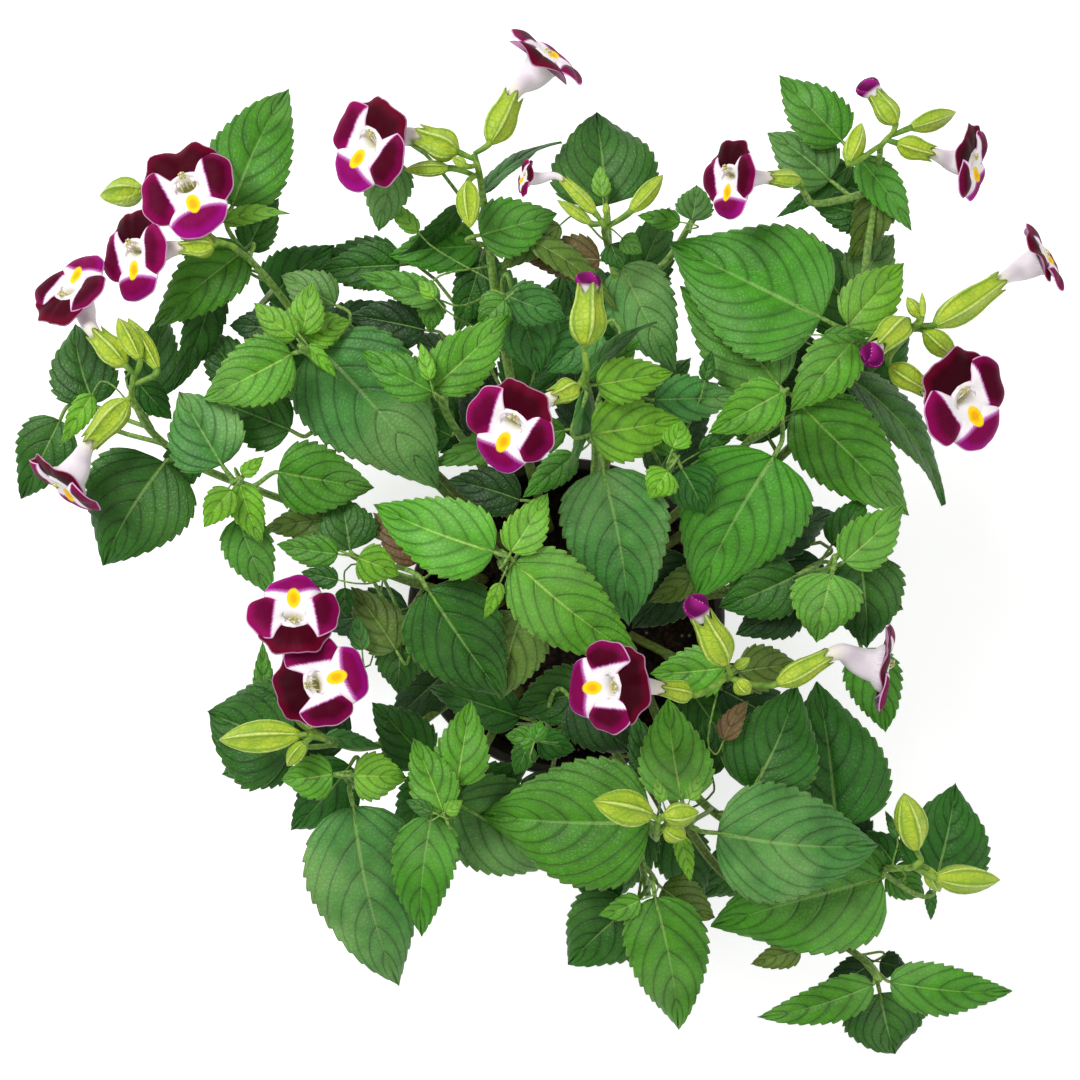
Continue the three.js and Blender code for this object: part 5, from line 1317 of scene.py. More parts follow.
# Racemes
def add_calyx(skin, calyx, root, materials):
    """A winged calyx on its pedicel; an open one ends in five pointed teeth."""
    base, tip, along = calyx_axis(calyx)
    length = np.linalg.norm(tip - base)
    holds = "flower" in calyx or "bud" in calyx
    sideways = unit(np.cross(along, UP))
    upwards = np.cross(along, sideways)
    turns = full_turn(CALYX_KEELS * CALYX_POINTS_A_KEEL)
    keel = np.abs(np.cos(CALYX_KEELS * turns / 2))
    between = 1 - np.abs(((CALYX_KEELS * turns / (2 * np.pi) + 0.5) % 1) - 0.5) * 2
    belly = np.array(CALYX_BELLY if holds else CALYX_CLOSED).T
    rings, maps = [], []
    for t in np.linspace(0, 1, CALYX_RINGS):
        radius = np.interp(t, *belly) * calyx["width"] / 2
        winged = CALYX_WINGED[0] < t < CALYX_WINGED[1]
        wing = CALYX_FURROW + CALYX_WING * keel**5 if winged else 0.9 + 0.1 * keel
        reach = radius * wing
        tooth = 0 * keel
        if holds:
            rise = max(0, (t - CALYX_TOOTH_START) / (1 - CALYX_TOOTH_START))
            tooth = CALYX_TOOTH * calyx["width"] / 8 * keel**2 * rise
        out = around(turns, sideways, upwards) * reach[:, None]
        rings.append(base + along * (t * length) + out + tooth[:, None] * along)
        maps.append(side_by_side(1 - between, t, 0, turns))
    if holds:
        inner = rings[-1] - along * 0.3 - (rings[-1] - rings[-1].mean(axis=0)) * 0.12
        rings.append(inner)
        deeper = (rings[-4] - rings[-4].mean(axis=0)) * 0.6
        rings.append(base + along * (0.8 * length) + deeper)
        maps += [maps[-1], maps[-1]]
    tint = skin.count % 7 / 3.5 - 1
    skin.loft(rings, maps, materials["calyx"], tint)
    span = np.linalg.norm(base - root)
    direct = unit(base - root)
    meet = base + along * 0.6
    weights = np.linspace(0, 1, PEDICEL_STEPS)
    centres = [hermite(root, direct * span, meet, along * span, weight) for weight in weights]
    radii = np.linspace(PEDICEL_RADIUS, min(CALYX_FOOT_RADIUS, calyx["width"] / 4), PEDICEL_STEPS)
    skin.tube(centres, radii, PEDICEL_SIDES, materials["calyx_stalk"])


def raceme_piece(name, raceme, materials):
    skin = Skin()
    axis = raceme_axis(raceme)
    centres = [axis.point(along) for along in np.linspace(0, 1, RACEME_STEPS)]
    radii = np.linspace(RACEME_RADIUS, RACEME_TIP_RADIUS, RACEME_STEPS)
    skin.tube(centres, radii, RACEME_SIDES, materials["calyx_stalk"], RACEME_RIBS)
    for calyx, root in zip(raceme["calyces"], pedicel_roots(raceme)):
        add_calyx(skin, calyx, root, materials)
    return skin.to_object("calyces_" + name, ["raceme_" + name])


# Corollas
def smooth_between(value, low, high):
    t = np.clip((value - low) / (high - low), 0, 1)
    return t * t * (3 - 2 * t)


def add_tube_and_throat(skin, plan, materials):
    """The white tube, the pale plate in the middle of the face, and the throat's funnel in it."""
    turns = full_turn(RING_POINTS)
    corners = plan.tube()
    rings, maps = [], []

    def tube_ring(along, radius):
        right, top = plan.swung(bezier_tangent(corners, along))
        folds = 1 + TUBE_FOLD * np.cos(4 * turns) * along
        out = around(turns, right, top)
        rings.append(bezier(corners, along) + out * (radius * plan.size * folds)[:, None])
        maps.append(side_by_side(np.cos(turns), np.sin(turns), along * 0.9, 1))

    def plate_ring(width, upper, lower, level, depth, outside=0):
        x = width * np.cos(turns)
        y = (upper + lower) / 2 + (upper - lower) / 2 * np.sin(turns)
        rings.append(plan.spot(x, y, level))
        maps.append(side_by_side(x / FACE_RADIUS, y / FACE_RADIUS, depth, outside))

    radii = [TUBE_RADIUS, TUBE_MIDDLE_RADIUS, TUBE_WAIST_RADIUS]
    for along in np.linspace(0, 1, TUBE_RINGS):
        tube_ring(along, np.interp(along, [0, 0.5, 1], radii))
    for ring in FUNNEL_RINGS:
        plate_ring(*ring, outside=1)
    for ring in PLATE_RINGS:
        plate_ring(*ring)
    skin.loft(rings, maps, materials["throat"])


def lobe_reach(kind, w):
    """How far a lobe's rim lies from the face's middle in mm, w from one side to the other."""
    shape = LOBES[kind]
    reach = shape["reach"] * (1 - shape["shoulder"] * np.abs(w) ** 2.6)
    ripple = np.sin(w * shape["ripples"] + shape["phase"]) * shape["ripple"]
    notch = shape["notch"] * np.exp(-((w / 0.13) ** 2))
    return reach * (1 + ripple - notch)


def add_lobe(skin, plan, kind, turn, materials, dice):
    """One lobe: a thin patch from inside the throat's rim to a rounded, rippled margin."""
    shape = LOBES[kind]
    v = 1 - (1 - np.linspace(0, 1, LOBE_ROWS)) ** 1.3
    w = np.sin(np.linspace(-1, 1, LOBE_COLUMNS) * np.pi / 2)
    v, w = np.meshgrid(v, w, indexing="ij")
    half_span = math.radians(shape["span"])
    lop = dice.uniform(-0.08, 0.08)
    grow = dice.uniform(0.97, 1.04)
    wander = dice.uniform(0, 2 * math.pi)
    angle = math.radians(turn) + (w + lop * (1 - w**2)) * half_span * (0.86 + 0.14 * v)
    inner = shape["root"] * (1 - 0.15 * w**2)
    rim_wave = 1 + shape["wave"] * np.sin(w * 4.3 + wander) * (1 - w**4)
    rim_reach = lobe_reach(kind, w) * grow * rim_wave
    radius = inner + (rim_reach - inner) * v
    swell = shape["swell"] * np.sin(np.pi * v**1.15) * (1 - w**2)
    recurve = -shape["recurve"] * v**4 - shape["side_recurve"] * np.abs(w) ** 5 * v
    ruffle = shape["ruffle"] * v**2.2 * np.sin(w * shape["folds"] + wander)
    crease = -shape["crease"] * np.exp(-((w / 0.16) ** 2)) * v
    level = shape["level"] + shape["slope"] * v + swell + recurve + ruffle + crease
    level = level - ROOT_DIP * (1 - v) ** 6
    x, y = radius * np.cos(angle), radius * np.sin(angle)
    thin_rim = np.clip(12 * (1 - v) + 0.1, 0.1, 1)
    thin_sides = np.clip(12 * (1 - np.abs(w)) + 0.1, 0.1, 1)
    half = PETAL_THICKNESS / 2 * thin_rim * thin_sides
    top = plan.spot(x, y, level + half)
    under = plan.spot(x, y, level - half)
    rim = np.minimum((1 - v) * (rim_reach - inner), (1 - np.abs(w)) * half_span * radius)
    maps = side_by_side(x / FACE_RADIUS, y / FACE_RADIUS, rim / FACE_RADIUS, 0)
    below = maps.copy()
    below[..., 3] = 1
    rings = np.concatenate([top[:, ::-1], under[:, 1:-1]], axis=1)
    flat = np.concatenate([maps[:, ::-1], below[:, 1:-1]], axis=1)
    skin.loft(rings, flat, materials[kind], dice.uniform(-1, 1))


def add_stamens(skin, plan, materials):
    """Two arched pairs of stamens and the style, close under the upper lip."""
    for side, reach, top in STAMENS:
        foot = plan.spot(side * reach, top - 2.2, -3.5)
        bow = plan.spot(side * reach * 0.9, top, 0.9)
        meet = plan.spot(side * 0.4, top + 0.3, 1.1)
        centres = [bezier([foot, bow, bow, meet], along) for along in np.linspace(0, 1, 10)]
        skin.tube(centres, np.full(10, FILAMENT_RADIUS * plan.size), 6, materials["filament"])
        anther = [plan.spot(side * x, top + 0.3, 1.1 + lift) for x, lift in ANTHER_SPOTS]
        skin.tube(anther, np.array(ANTHER_RADII) * plan.size, 8, materials["anther"])
    style = [plan.spot(0, y, z) for y, z in STYLE_SPOTS]
    skin.tube(style, np.array(STYLE_RADII) * plan.size, 6, materials["filament"])


def corolla_piece(name, calyx, materials, dice):
    plan = CorollaPlan(calyx)
    skin = Skin()
    add_tube_and_throat(skin, plan, materials)
    for kind, turn in (("upper", 90), ("side", 2), ("side", 178), ("lower", 270)):
        add_lobe(skin, plan, kind, turn, materials, dice)
    add_stamens(skin, plan, materials)
    return skin.to_object("flower_" + name, ["corolla_" + name])


def bud_piece(name, calyx, materials):
    """A corolla still rolled up: overlapping folds that wind round to a blunt tip."""
    _, tip, along = calyx_axis(calyx)
    root = tip + along * SEAT_GAP
    end = on_dome(*calyx["bud"]["tip"], calyx["bud"]["rise"])
    sideways = unit(np.cross(along, UP))
    upwards = np.cross(along, sideways)
    turns = full_turn(RING_POINTS)
    rings, maps = [], []
    for t in np.linspace(0, 1, BUD_ROWS):
        fold = ((turns / (2 * np.pi) * 4 + t * 0.9) % 1) ** 1.5
        reach = np.interp(t, *np.array(BUD_RINGS).T) * (0.93 + 0.09 * fold * smooth_between(t, 0.3, 0.6))
        out = around(turns, sideways, upwards)
        rings.append(root + (end - root) * t + out * reach[:, None])
        maps.append(side_by_side(turns, t, fold, 0))
    skin = Skin()
    skin.loft(rings, maps, materials["bud"])
    return skin.to_object("flower_" + name, ["corolla_" + name])


# Pot and soil
def inner_radius(height):
    wall_top = RIM_RADIUS - RIM_STEP
    return BASE_RADIUS + (wall_top - BASE_RADIUS) * height / POT_HEIGHT - POT_WALL


def add_turned(skin, profile, sides, material):
    turns = full_turn(sides)
    rings = [level_ring(turns, radius, height) for radius, height in profile]
    maps = [side_by_side(turns / (2 * np.pi), height, 0, 0) for _, height in profile]
    skin.loft(rings, maps, material)


def pot_piece(materials):
    """The nursery pot: tapering wall, stepped and rolled rim, a stacking ledge and drain holes."""
    foot = POT_HEIGHT - RIM_BAND
    outer = BASE_RADIUS + (RIM_RADIUS - RIM_STEP - BASE_RADIUS) * foot / POT_HEIGHT
    profile = [(4, BASE_HOLLOW), (BASE_RADIUS - 5, BASE_HOLLOW), (BASE_RADIUS - 4, 0)]
    profile += [(BASE_RADIUS - 1, 0), (BASE_RADIUS, 1)]
    for t in WALL_STEPS:
        profile.append((BASE_RADIUS + (outer - BASE_RADIUS) * t, 1 + (foot - 1) * t))
    profile += [(RIM_RADIUS - 1.2, foot), (RIM_RADIUS - 0.6, foot + 0.6), (RIM_RADIUS, POT_HEIGHT - 1.8)]
    profile += [(RIM_RADIUS - 0.2, POT_HEIGHT - 0.6), (RIM_RADIUS - 0.9, POT_HEIGHT)]
    profile += [(inner_radius(POT_HEIGHT) + 0.5, POT_HEIGHT), (inner_radius(POT_HEIGHT), POT_HEIGHT - 0.6)]
    profile += [(inner_radius(height), height) for height in (foot, 60, 30, 8, POT_WALL + 1)]
    profile += [(inner_radius(POT_WALL) - 1, POT_WALL), (4, POT_WALL)]
    skin = Skin()
    add_turned(skin, profile, POT_SIDES, materials["pot"])
    pot = skin.to_object("pot_shell", ["pot"])
    drains = Skin()
    for i in range(DRAIN_COUNT):
        turn = 2 * math.pi * i / DRAIN_COUNT
        x, y = DRAIN_RING * math.cos(turn), DRAIN_RING * math.sin(turn)
        drains.tube([[x, y, z] for z in (-3, 0, 3, 6)], [DRAIN_RADIUS] * 4, DRAIN_SIDES, materials["pot"])
    cutter = new_object("drains", drains.plain_mesh("drains"))
    cut = pot.modifiers.new("drains", "BOOLEAN")
    cut.operation, cut.object, cut.solver = "DIFFERENCE", cutter, "EXACT"
    bpy.context.view_layer.update()
    done = bpy.data.meshes.new_from_object(pot.evaluated_get(bpy.context.evaluated_depsgraph_get()))
    pot.modifiers.clear()
    pot.data = done
    bpy.data.objects.remove(cutter)
    return pot


def soil_height(share):
    """The crown's height at a share of the way out from the middle."""
    return SOIL_LEVEL + SOIL_CROWN * (1 - share**2)


def soil_piece(materials, dice):
    """Crumbly potting mix: an uneven crown with lumps of bark and peat on it."""
    edge = inner_radius(SOIL_LEVEL) - 0.45
    floor = POT_WALL + SEAT_GAP
    turns = full_turn(SOIL_SIDES)
    bands = ((0.08, 0.9), (0.08, 0.9), (0, 6.3))
    waves = [[dice.uniform(*band) for band in bands] for _ in range(SOIL_WAVES)]
    rings = [level_ring(turns, inner_radius(floor) - 0.8, floor), level_ring(turns, edge, SOIL_LEVEL - 2)]
    for radius in np.linspace(edge, 1.5, SOIL_RINGS):
        x, y = radius * np.cos(turns), radius * np.sin(turns)
        rough = sum(np.sin(a * x + b * y + c) for a, b, c in waves) * SOIL_WAVE_HEIGHT
        rings.append(side_by_side(x, y, soil_height(radius / edge) + rough - 0.6))
    maps = [np.zeros((SOIL_SIDES, 4)) for _ in rings]
    skin = Skin()
    skin.loft(rings, maps, materials["soil"])
    for _ in range(LUMP_COUNT):
        reach, turn = edge * math.sqrt(dice.uniform(0, 0.9)), dice.uniform(0, 2 * math.pi)
        size = dice.uniform(*LUMP_SIZES)
        centre = np.array([reach * math.cos(turn), reach * math.sin(turn), soil_height(reach / edge)])
        way = unit(np.array([dice.uniform(-1, 1), dice.uniform(-1, 1), dice.uniform(-0.3, 0.3)]))
        centres = [centre + way * size * step for step in (-1, -0.7, 0, 0.6, 1)]
        radii = size * np.array([0.2, 0.6, dice.uniform(0.7, 0.9), 0.55, 0.2])
        skin.tube(centres, radii, 8, materials["soil"], ribs=0.12)
    return skin.to_object("soil_bed", ["soil"])


# Materials
def linear(colour):
    """A hex screen colour as the linear values that the shaders take."""
    channels = [(colour >> shift & 255) / 255 for shift in (16, 8, 0)]
    return [c / 12.92 if c <= 0.04045 else ((c + 0.055) / 1.055) ** 2.4 for c in channels] + [1.0]


def scaled(colour, share):
    return [channel * share for channel in colour[:3]] + [1.0]


class Graph:
    """One material's nodes, with short calls for the kinds used here."""

    def __init__(self, name, **values):
        self.material = bpy.data.materials.new(name)
        self.material.use_nodes = True
        self.tree = self.material.node_tree
        self.shader = self.tree.nodes["Principled BSDF"]
        for socket, value in values.items():
            self.shader.inputs[socket.replace("_", " ")].default_value = value

    def feed(self, socket, value):
        if isinstance(value, bpy.types.NodeSocket):
            self.tree.links.new(value, socket)
        else:
            socket.default_value = value

    def node(self, kind, inputs, **settings):
        node = self.tree.nodes.new("ShaderNode" + kind)
        for key, value in settings.items():
            setattr(node, key, value)
        for key, value in inputs.items():
            self.feed(node.inputs[key], value)
        return node

    def math(self, operation, *values):
        return self.node("Math", dict(enumerate(values)), operation=operation).outputs[0]

    def times(self, first, second):
        return self.math("MULTIPLY", first, second)

    def plus(self, first, second):
        return self.math("ADD", first, second)

    def minus(self, first, second):
        return self.math("SUBTRACT", first, second)

    def smooth(self, value, low, high):
        """0 below low, 1 above high, eased between them."""
        inputs = {"Value": value, "From Min": low, "From Max": high}
        return self.node("MapRange", inputs, interpolation_type="SMOOTHSTEP").outputs["Result"]

    def fall(self, value, low, high):
        """1 below low, 0 above high, eased between them."""
        return self.minus(1, self.smooth(value, low, high))

    def spread(self, value, low, high):
        inputs = {"Value": value, "To Min": low, "To Max": high}
        return self.node("MapRange", inputs).outputs["Result"]

    def mix(self, share, first, second):
        return self.node("Mix", {0: share, 6: first, 7: second}, data_type="RGBA").outputs[2]

    def paint(self, colour, over, mask, share=None):
        """The colour with another over it where the mask is 1, or that share of it."""
        return self.mix(mask if share is None else self.times(mask, share), colour, over)

    def flat_map(self, name):
        """Both values of one of the two flat maps that every piece has."""
        place = self.node("UVMap", {}, uv_map=name).outputs["UV"]
        parts = self.node("SeparateXYZ", {0: place}).outputs
        return parts[0], parts[1]

    def object_place(self):
        return self.node("TexCoord", {}).outputs["Object"]

    def tint(self):
        return self.node("Attribute", {}, attribute_name="tint").outputs["Fac"]

    def stretched(self, place, scale):
        return self.node("Mapping", {"Vector": place, "Scale": scale}).outputs[0]

    def noise(self, place, scale, detail=3, roughness=0.5):
        inputs = {"Vector": place, "Scale": scale, "Detail": detail, "Roughness": roughness}
        return self.node("TexNoise", inputs).outputs["Fac"]

    def cells(self, place, scale, feature="DISTANCE_TO_EDGE"):
        inputs = {"Vector": place, "Scale": scale}
        return self.node("TexVoronoi", inputs, feature=feature).outputs["Distance"]

    def vary(self, colour, hue, saturation, value):
        inputs = {"Hue": hue, "Saturation": saturation, "Value": value, "Color": colour}
        return self.node("HueSaturation", inputs).outputs["Color"]

    def finish(self, colour, height=None, bump=0.5, distance=0.0005, roughness=None):
        self.feed(self.shader.inputs["Base Color"], colour)
        if height is not None:
            inputs = {"Height": height, "Strength": bump, "Distance": distance}
            self.feed(self.shader.inputs["Normal"], self.node("Bump", inputs).outputs["Normal"])
        if roughness is not None:
            self.feed(self.shader.inputs["Roughness"], roughness)
        return self.material


def leaf_material(tone):
    """Quilted leaf: side veins darker with their own deeper green and with painted shade in their grooves,
    pale midrib and margin, a fine net between the veins, painted highlights on the cushions between the
    veins and patches of painted sheen.
    """
    young = tone in ("young", "bright")
    colour = linear(TONES[tone])
    graph = Graph("leaf_" + tone, Specular_IOR_Level=0.3)
    phase, across = graph.flat_map("pattern")
    along, below = graph.flat_map("place")
    place = graph.object_place()
    side = graph.times(graph.math("ABSOLUTE", graph.minus(across, 0.5)), 2)
    wander = graph.spread(graph.noise(place, VEIN_WANDER_SCALE, 2), *VEIN_WANDER)
    vein = graph.plus(graph.math("PINGPONG", phase, 0.5), wander)
    mottle = graph.noise(place, MOTTLE_SCALE, 5, 0.7)
    net = graph.cells(place, NET_SCALE)

    # The cushions between the veins are lightened with a painted highlight, mixed with the mottle into the
    # light and dark patches
    cushion = graph.times(graph.smooth(vein, *CUSHION_HIGHLIGHT_BAND), CUSHION_HIGHLIGHT_SHARE)
    patch = graph.smooth(graph.plus(cushion, graph.spread(mottle, *MOTTLE_RANGE)), *PATCH_BAND)
    lamina = graph.mix(patch, scaled(colour, DARK_PATCH), scaled(colour, LIGHT_PATCH))
    # Patches of painted sheen: a pale grey-green over the lamina
    bloom = graph.smooth(graph.noise(place, PAINTED_SHEEN_SCALE), *PAINTED_SHEEN_BAND)
    lamina = graph.paint(lamina, linear(PAINTED_SHEEN_COLOUR), bloom, LEAF_PAINTED_SHEEN.get(tone, USUAL_PAINTED_SHEEN))
    lamina = graph.paint(lamina, scaled(colour, DARK_PATCH), graph.fall(net, *NET_BAND), NET_SHARE)
    # The sunken side veins are darkened: partly their own deeper green, partly painted shade in their
    # grooves
    sunk = graph.times(graph.fall(vein, *VEIN_BAND), graph.fall(side, *VEIN_FADE))
    vein_share = YOUNG_VEIN_SHARE if young else OLD_VEIN_SHARE
    lamina = graph.paint(lamina, scaled(colour, VEIN_SHADE), sunk, vein_share)

    pale = linear(YOUNG_RIB if young else OLD_RIB)
    rib_edge = graph.spread(along, *RIB_EDGE)
    rib = graph.fall(side, graph.times(rib_edge, 0.5), rib_edge)
    lamina = graph.paint(lamina, pale, rib, graph.spread(along, *RIB_SHARE))
    lamina = graph.paint(lamina, pale, graph.smooth(side, *MARGIN_BAND), MARGIN_SHARE)

    tint = graph.tint()
    hue, brightness = graph.spread(tint, *HUE_RANGE), graph.spread(tint, *BRIGHTNESS_RANGE)
    lamina = graph.vary(lamina, hue, 1.0, brightness)
    underside = graph.vary(lamina, 0.5, UNDERSIDE_SATURATION, UNDERSIDE_BRIGHTNESS)
    lamina = graph.paint(lamina, underside, below, UNDERSIDE_SHARE)

    height = graph.times(graph.smooth(vein, 0, 0.1), VEIN_BUMP)
    height = graph.plus(height, graph.times(graph.smooth(net, 0, 0.25), NET_BUMP))
    height = graph.plus(height, graph.times(mottle, MOTTLE_BUMP))
    rough = graph.spread(graph.noise(place, LEAF_ROUGHNESS_SCALE), *LEAF_ROUGHNESS)
    return graph.finish(lamina, height, 0.6, 0.0008, rough)


def stem_material():
    graph = Graph("green_stem", Specular_IOR_Level=0.35)
    place = graph.object_place()
    rise = graph.node("SeparateXYZ", {0: place}).outputs[2]
    streak = graph.noise(graph.stretched(place, (900, 900, 60)), 1, 3)
    colour = graph.mix(graph.smooth(streak, 0.3, 0.7), linear(STEM_SHADE), linear(STEM_LIGHT))
    low = graph.fall(rise, 0.09, 0.15)
    colour = graph.paint(colour, linear(STEM_FOOT), low, 0.7)
    return graph.finish(colour, streak, 0.4, 0.0004, graph.spread(streak, 0.4, 0.6))


def calyx_material(name, keel_colour, side_colour):
    """Lime calyx: a painted highlight along the crest of each keel, darker lines beside the keels and a net
    of fine veins.
    """
    graph = Graph(name, Specular_IOR_Level=0.4)
    keel, along = graph.flat_map("pattern")
    place = graph.object_place()
    mottle = graph.noise(place, 160, 4, 0.6)
    colour = graph.mix(graph.smooth(mottle, 0.3, 0.7), linear(side_colour), linear(keel_colour))
    # Painted highlight along the crest of each keel
    crest_highlight = graph.fall(keel, 0.04, 0.16)
    beside = graph.times(graph.smooth(keel, 0.12, 0.2), graph.fall(keel, 0.3, 0.42))
    colour = graph.paint(colour, linear(CALYX_GROOVE), beside, 0.6)
    colour = graph.paint(colour, linear(CALYX_CREST_HIGHLIGHT), crest_highlight, 0.5)
    net = graph.cells(place, 480)
    veins = graph.fall(net, 0.02, 0.14)
    colour = graph.paint(colour, linear(CALYX_VEIN), veins, 0.22)
    tip = graph.smooth(along, 0.86, 1)
    colour = graph.paint(colour, linear(CALYX_TIP), tip, 0.35)
    colour = graph.vary(colour, 0.5, 1.0, graph.spread(graph.tint(), 1.0, 1.1))
    height = graph.plus(graph.smooth(net, 0, 0.2), graph.times(mottle, 0.6))
    return graph.finish(colour, height, 0.45, 0.0004, graph.spread(mottle, 0.4, 0.58))


def petal_base(name):
    return Graph(name, Specular_IOR_Level=0.05)


def petal_grain(graph, place, x, y):
    """Fine streaks that run outwards over a petal, and its velvety grain."""
    turn = graph.math("ARCTAN2", y, x)
    reach = graph.math("SQRT", graph.plus(graph.times(x, x), graph.times(y, y)))
    fan = graph.node("CombineXYZ", {0: graph.times(turn, 9), 1: reach, 2: 0.0}).outputs[0]
    streak = graph.noise(fan, 3, 3)
    grain = graph.noise(place, 900, 2)
    return streak, grain, reach


def add_blotch(graph, colour, x, y, grain):
    """The golden oval on the lower lip, deeper orange in its middle."""
    blotch_y = graph.math("DIVIDE", graph.plus(y, BLOTCH_PLACE), BLOTCH_LENGTH)
    blotch_x = graph.math("DIVIDE", x, BLOTCH_WIDTH)
    far = graph.plus(graph.times(blotch_x, blotch_x), graph.times(blotch_y, blotch_y))
    far = graph.plus(far, graph.spread(grain, -0.15, 0.15))
    colour = graph.paint(colour, linear(BLOTCH_GOLD), graph.fall(far, *BLOTCH_EDGE))
    return graph.paint(colour, linear(BLOTCH_ORANGE), graph.fall(far, *BLOTCH_MIDDLE))


def lobe_material(kind):
    """A lobe: white at its root, purple beyond, and a thin pale line along its margin."""
    looks = LOBE_LOOKS[kind]
    graph = petal_base("lobe_" + kind)
    x, y = graph.flat_map("pattern")
    rim, below = graph.flat_map("place")
    place = graph.object_place()
    streak, grain, reach = petal_grain(graph, place, x, y)
    bright = graph.fall(rim, *RIM_GLOW)
    bright = graph.plus(graph.times(bright, 0.65), graph.spread(streak, *STREAK_RANGE))
    bright = graph.plus(bright, graph.times(graph.tint(), 0.25))
    colour = graph.mix(bright, linear(looks["deep"]), linear(looks["bright"]))
    measure = {"upper": y, "side": graph.math("ABSOLUTE", x), "lower": graph.times(y, -1)}[kind]
    measure = graph.plus(measure, graph.spread(streak, *STREAK_SHIFT))
    if kind == "side":
        measure = graph.minus(measure, graph.times(y, SIDE_WHITE_SLANT))
    if kind == "lower":
        bow = graph.times(graph.times(x, x), LOWER_WHITE_BOW)
        measure = graph.minus(measure, bow)
    start, end = looks["white"]
    soft = linear(looks["blush"])
    colour = graph.mix(graph.fall(measure, start, end), colour, soft)
    white = graph.fall(measure, start - WHITE_EDGE, start + WHITE_EDGE)
    colour = graph.paint(colour, linear(PETAL_WHITE), white)
    edge = graph.fall(rim, *RIM_LINE)
    colour = graph.paint(colour, linear(PETAL_LINE), edge, looks["line"])
    if kind == "lower":
        colour = add_blotch(graph, colour, x, y, grain)
    back = graph.mix(0.2, colour, linear(PETAL_BACK))
    back = graph.mix(graph.smooth(reach, *BACK_WHITE), linear(TUBE_WHITE), back)
    colour = graph.mix(below, colour, back)
    height = graph.plus(graph.times(streak, 0.8), graph.times(grain, 0.3))
    return graph.finish(colour, height, 0.35, 0.0004, graph.spread(grain, *PETAL_ROUGHNESS))


def throat_material():
    """The white tube outside, and inside the funnel that darkens to cream and yellow-green towards its
    depth: painted shade deeper in the throat.
    """
    graph = petal_base("throat")
    x, y = graph.flat_map("pattern")
    depth, outside = graph.flat_map("place")
    place = graph.object_place()
    streak, grain, _ = petal_grain(graph, place, x, y)
    # Painted shade: the funnel darkens from white to cream and yellow-green as it goes deeper
    inner = graph.mix(graph.smooth(depth, 0.2, 0.9), linear(PETAL_WHITE), linear(THROAT_SHADE_CREAM))
    inner = graph.paint(inner, linear(THROAT_DEEP_SHADE), graph.smooth(depth, 0.9, 1))
    inner = add_blotch(graph, inner, x, y, grain)
    tube = graph.mix(graph.smooth(streak, 0.35, 0.75), linear(TUBE_WHITE), linear(TUBE_BLUSH))
    base = graph.fall(depth, 0.0, 0.3)
    tube = graph.paint(tube, linear(TUBE_FOOT), base, 0.6)
    colour = graph.mix(outside, inner, tube)
    return graph.finish(colour, streak, 0.3, 0.0004, graph.spread(grain, 0.42, 0.6))


def bud_material():
    """A rolled bud: pale foot, magenta folds with a light line at each fold's edge."""
    graph = petal_base("bud")
    _, along = graph.flat_map("pattern")
    fold, _ = graph.flat_map("place")
    place = graph.object_place()
    grain = graph.noise(place, 500, 3)
    colour = graph.mix(graph.smooth(fold, 0.1, 0.9), linear(BUD_SHADE), linear(BUD_LIGHT))
    colour = graph.paint(colour, linear(BUD_LINE), graph.smooth(fold, 0.9, 0.98))
    band = graph.fall(along, 0.22, 0.42)
    colour = graph.paint(colour, linear(BUD_FOOT), band)
    return graph.finish(colour, grain, 0.3, 0.0004, graph.spread(grain, 0.42, 0.6))


def plain_plant_material(name, dark, light, scale):
    graph = Graph(name, Specular_IOR_Level=0.3)
    grain = graph.noise(graph.object_place(), scale, 3)
    colour = graph.mix(graph.smooth(grain, 0.3, 0.7), linear(dark), linear(light))
    return graph.finish(colour, grain, 0.4, 0.0003, graph.spread(grain, 0.4, 0.6))


def pot_material():
    """Thin black-brown moulded plastic with faint scuffs and dried splashes of soil."""
    graph = Graph("pot_plastic", Specular_IOR_Level=0.45)
    place = graph.object_place()
    scuff = graph.noise(graph.stretched(place, (40, 40, 260)), 1, 5, 0.65)
    dust = graph.smooth(graph.noise(place, 70, 5, 0.7), 0.52, 0.72)
    colour = graph.mix(graph.smooth(scuff, 0.35, 0.7), linear(POT_BLACK), linear(POT_SCUFF))
    colour = graph.paint(colour, linear(POT_DUST), dust, 0.3)
    grain = graph.noise(place, 1400, 2)
    height = graph.plus(graph.times(scuff, 0.6), graph.times(grain, 0.25))
    return graph.finish(colour, height, 0.2, 0.0004, graph.spread(dust, 0.36, 0.62))


def soil_material():
    """Dark peat with crumbs, fibres and a few pale grains."""
    graph = Graph("potting_mix", Specular_IOR_Level=0.15)
    place = graph.object_place()
    crumb = graph.cells(place, 420, "F1")
    clod = graph.noise(place, 160, 6, 0.7)
    # Darker in the low gaps between the crumbs: painted shade
    colour = graph.mix(graph.smooth(crumb, 0.1, 0.7), linear(SOIL_CRUMB), linear(SOIL_GAP_SHADE))
    colour = graph.paint(colour, linear(SOIL_BARK), graph.smooth(clod, 0.55, 0.75), 0.6)
    speck = graph.fall(graph.cells(place, 170, "F1"), 0.08, 0.13)
    colour = graph.paint(colour, linear(SOIL_GRAIN), speck, 0.5)
    height = graph.plus(graph.times(crumb, -0.7), clod)
    return graph.finish(colour, height, 0.9, 0.0012, graph.spread(clod, 0.85, 1.0))


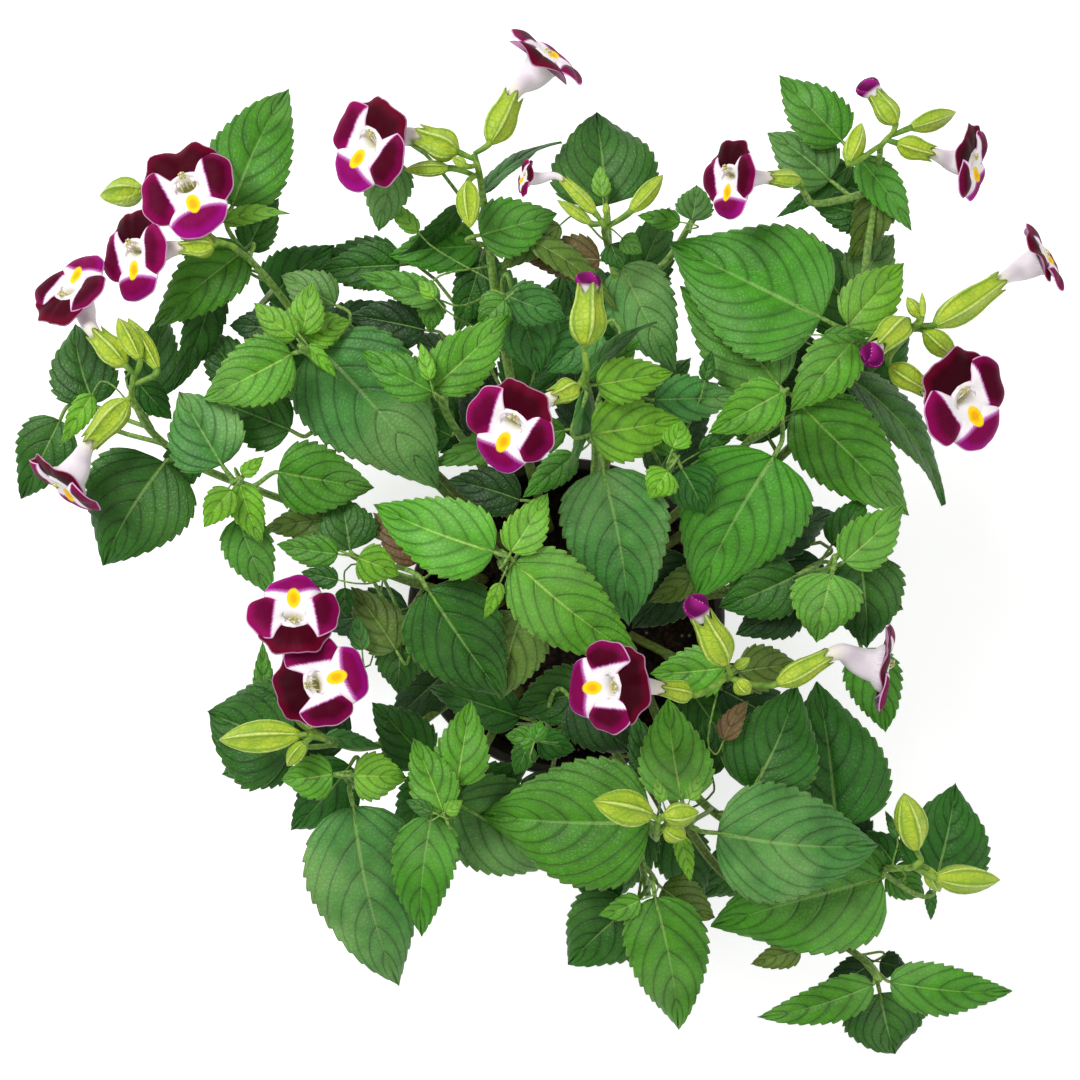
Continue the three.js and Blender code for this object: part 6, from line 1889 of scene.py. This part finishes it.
def plant_materials():
    materials = {tone: leaf_material(tone) for tone in TONES}
    materials.update({kind: lobe_material(kind) for kind in LOBE_LOOKS})
    materials["stem"] = stem_material()
    materials["calyx"] = calyx_material("calyx", CALYX_LIGHT, CALYX_SHADE)
    materials["calyx_stalk"] = plain_plant_material("calyx_stalk", STALK_SHADE, STALK_LIGHT, 300)
    materials["throat"] = throat_material()
    materials["bud"] = bud_material()
    materials["filament"] = plain_plant_material("filament", FILAMENT_SHADE, FILAMENT_LIGHT, 500)
    materials["anther"] = plain_plant_material("anther", ANTHER_SHADE, ANTHER_LIGHT, 900)
    materials["pot"] = pot_material()
    materials["soil"] = soil_material()
    return materials


# Studio
def add_camera():
    lens = PHOTO_FOCAL * SENSOR_WIDTH / PHOTO_SIZE
    data = bpy.data.cameras.new("photo_camera")
    data.sensor_width, data.lens = SENSOR_WIDTH, lens
    data.clip_start, data.clip_end = 0.01, 20
    camera = new_object("photo_camera", data)
    camera.location = (CAMERA_X / 1000, CAMERA_Y / 1000, CAMERA_HEIGHT / 1000)
    bpy.context.scene.camera = camera


def add_floor():
    mesh = bpy.data.meshes.new("studio_floor")
    ways = ((-1, -1), (1, -1), (1, 1), (-1, 1))
    corners = [(x * FLOOR_REACH, y * FLOOR_REACH, -FLOOR_DROP) for x, y in ways]
    mesh.from_pydata(corners, [], [(0, 1, 2, 3)])
    floor = new_object("studio_floor", mesh)
    graph = Graph("studio_paper", Roughness=0.9, Specular_IOR_Level=0.1, Emission_Strength=FLOOR_GLOW)
    graph.shader.inputs["Emission Color"].default_value = (1, 1, 1, 1)
    cloud = graph.noise(graph.object_place(), 3, 2)
    graph.finish(graph.mix(cloud, (0.9, 0.9, 0.895, 1), (0.93, 0.93, 0.925, 1)))
    mesh.materials.append(graph.material)


def add_lamp(name, place, size, power):
    """A round lamp that faces the plant."""
    data = bpy.data.lights.new(name, "AREA")
    data.shape, data.size, data.energy = "DISK", size, power
    lamp = new_object(name, data)
    lamp.location = place
    way = np.array(LIGHT_AIM) - np.array(place)
    flat = math.hypot(way[0], way[1])
    lamp.rotation_euler = (math.atan2(flat, -way[2]), 0, math.atan2(way[1], way[0]) - math.pi / 2)


def add_studio():
    world = bpy.data.worlds.new("studio_light")
    world.use_nodes = True
    background = world.node_tree.nodes["Background"]
    background.inputs["Color"].default_value = (1, 1, 1, 1)
    background.inputs["Strength"].default_value = WORLD_STRENGTH
    bpy.context.scene.world = world
    add_lamp("key_light", KEY_PLACE, KEY_SIZE, KEY_POWER)
    add_lamp("fill_light", FILL_PLACE, FILL_SIZE, FILL_POWER)
    bpy.context.scene.view_settings.view_transform = "Standard"


# Assembly
def dress_plant():
    materials = plant_materials()
    dice = random.Random(PLANT_SEED)
    beads = Beads()
    leaves = [Leaf(row) for row in LEAF_ROWS]
    settled = []
    for leaf in sorted(leaves, key=lambda leaf: leaf.layer):
        settle(leaf, settled, beads)
    small = [Leaf(row) for row in SMALL_LEAF_ROWS]
    for leaf in small:
        lift_clear(leaf, settled)
    shaded = [Leaf(row) for row in SHADED_LEAF_ROWS]
    for leaf in shaded:
        settle(leaf, settled, beads)
    for name in STEMS:
        leafy_stem(name, leaves + small + shaded, materials, dice)
    for name, raceme in RACEMES.items():
        raceme_piece(name, raceme, materials)
        for i, calyx in enumerate(raceme["calyces"]):
            if "flower" in calyx:
                corolla_piece(f"{name}{i + 1}", calyx, materials, dice)
            if "bud" in calyx:
                bud_piece(f"{name}{i + 1}", calyx, materials)
    pot_piece(materials)
    soil_piece(materials, dice)


add_camera()
add_studio()
add_floor()
dress_plant()
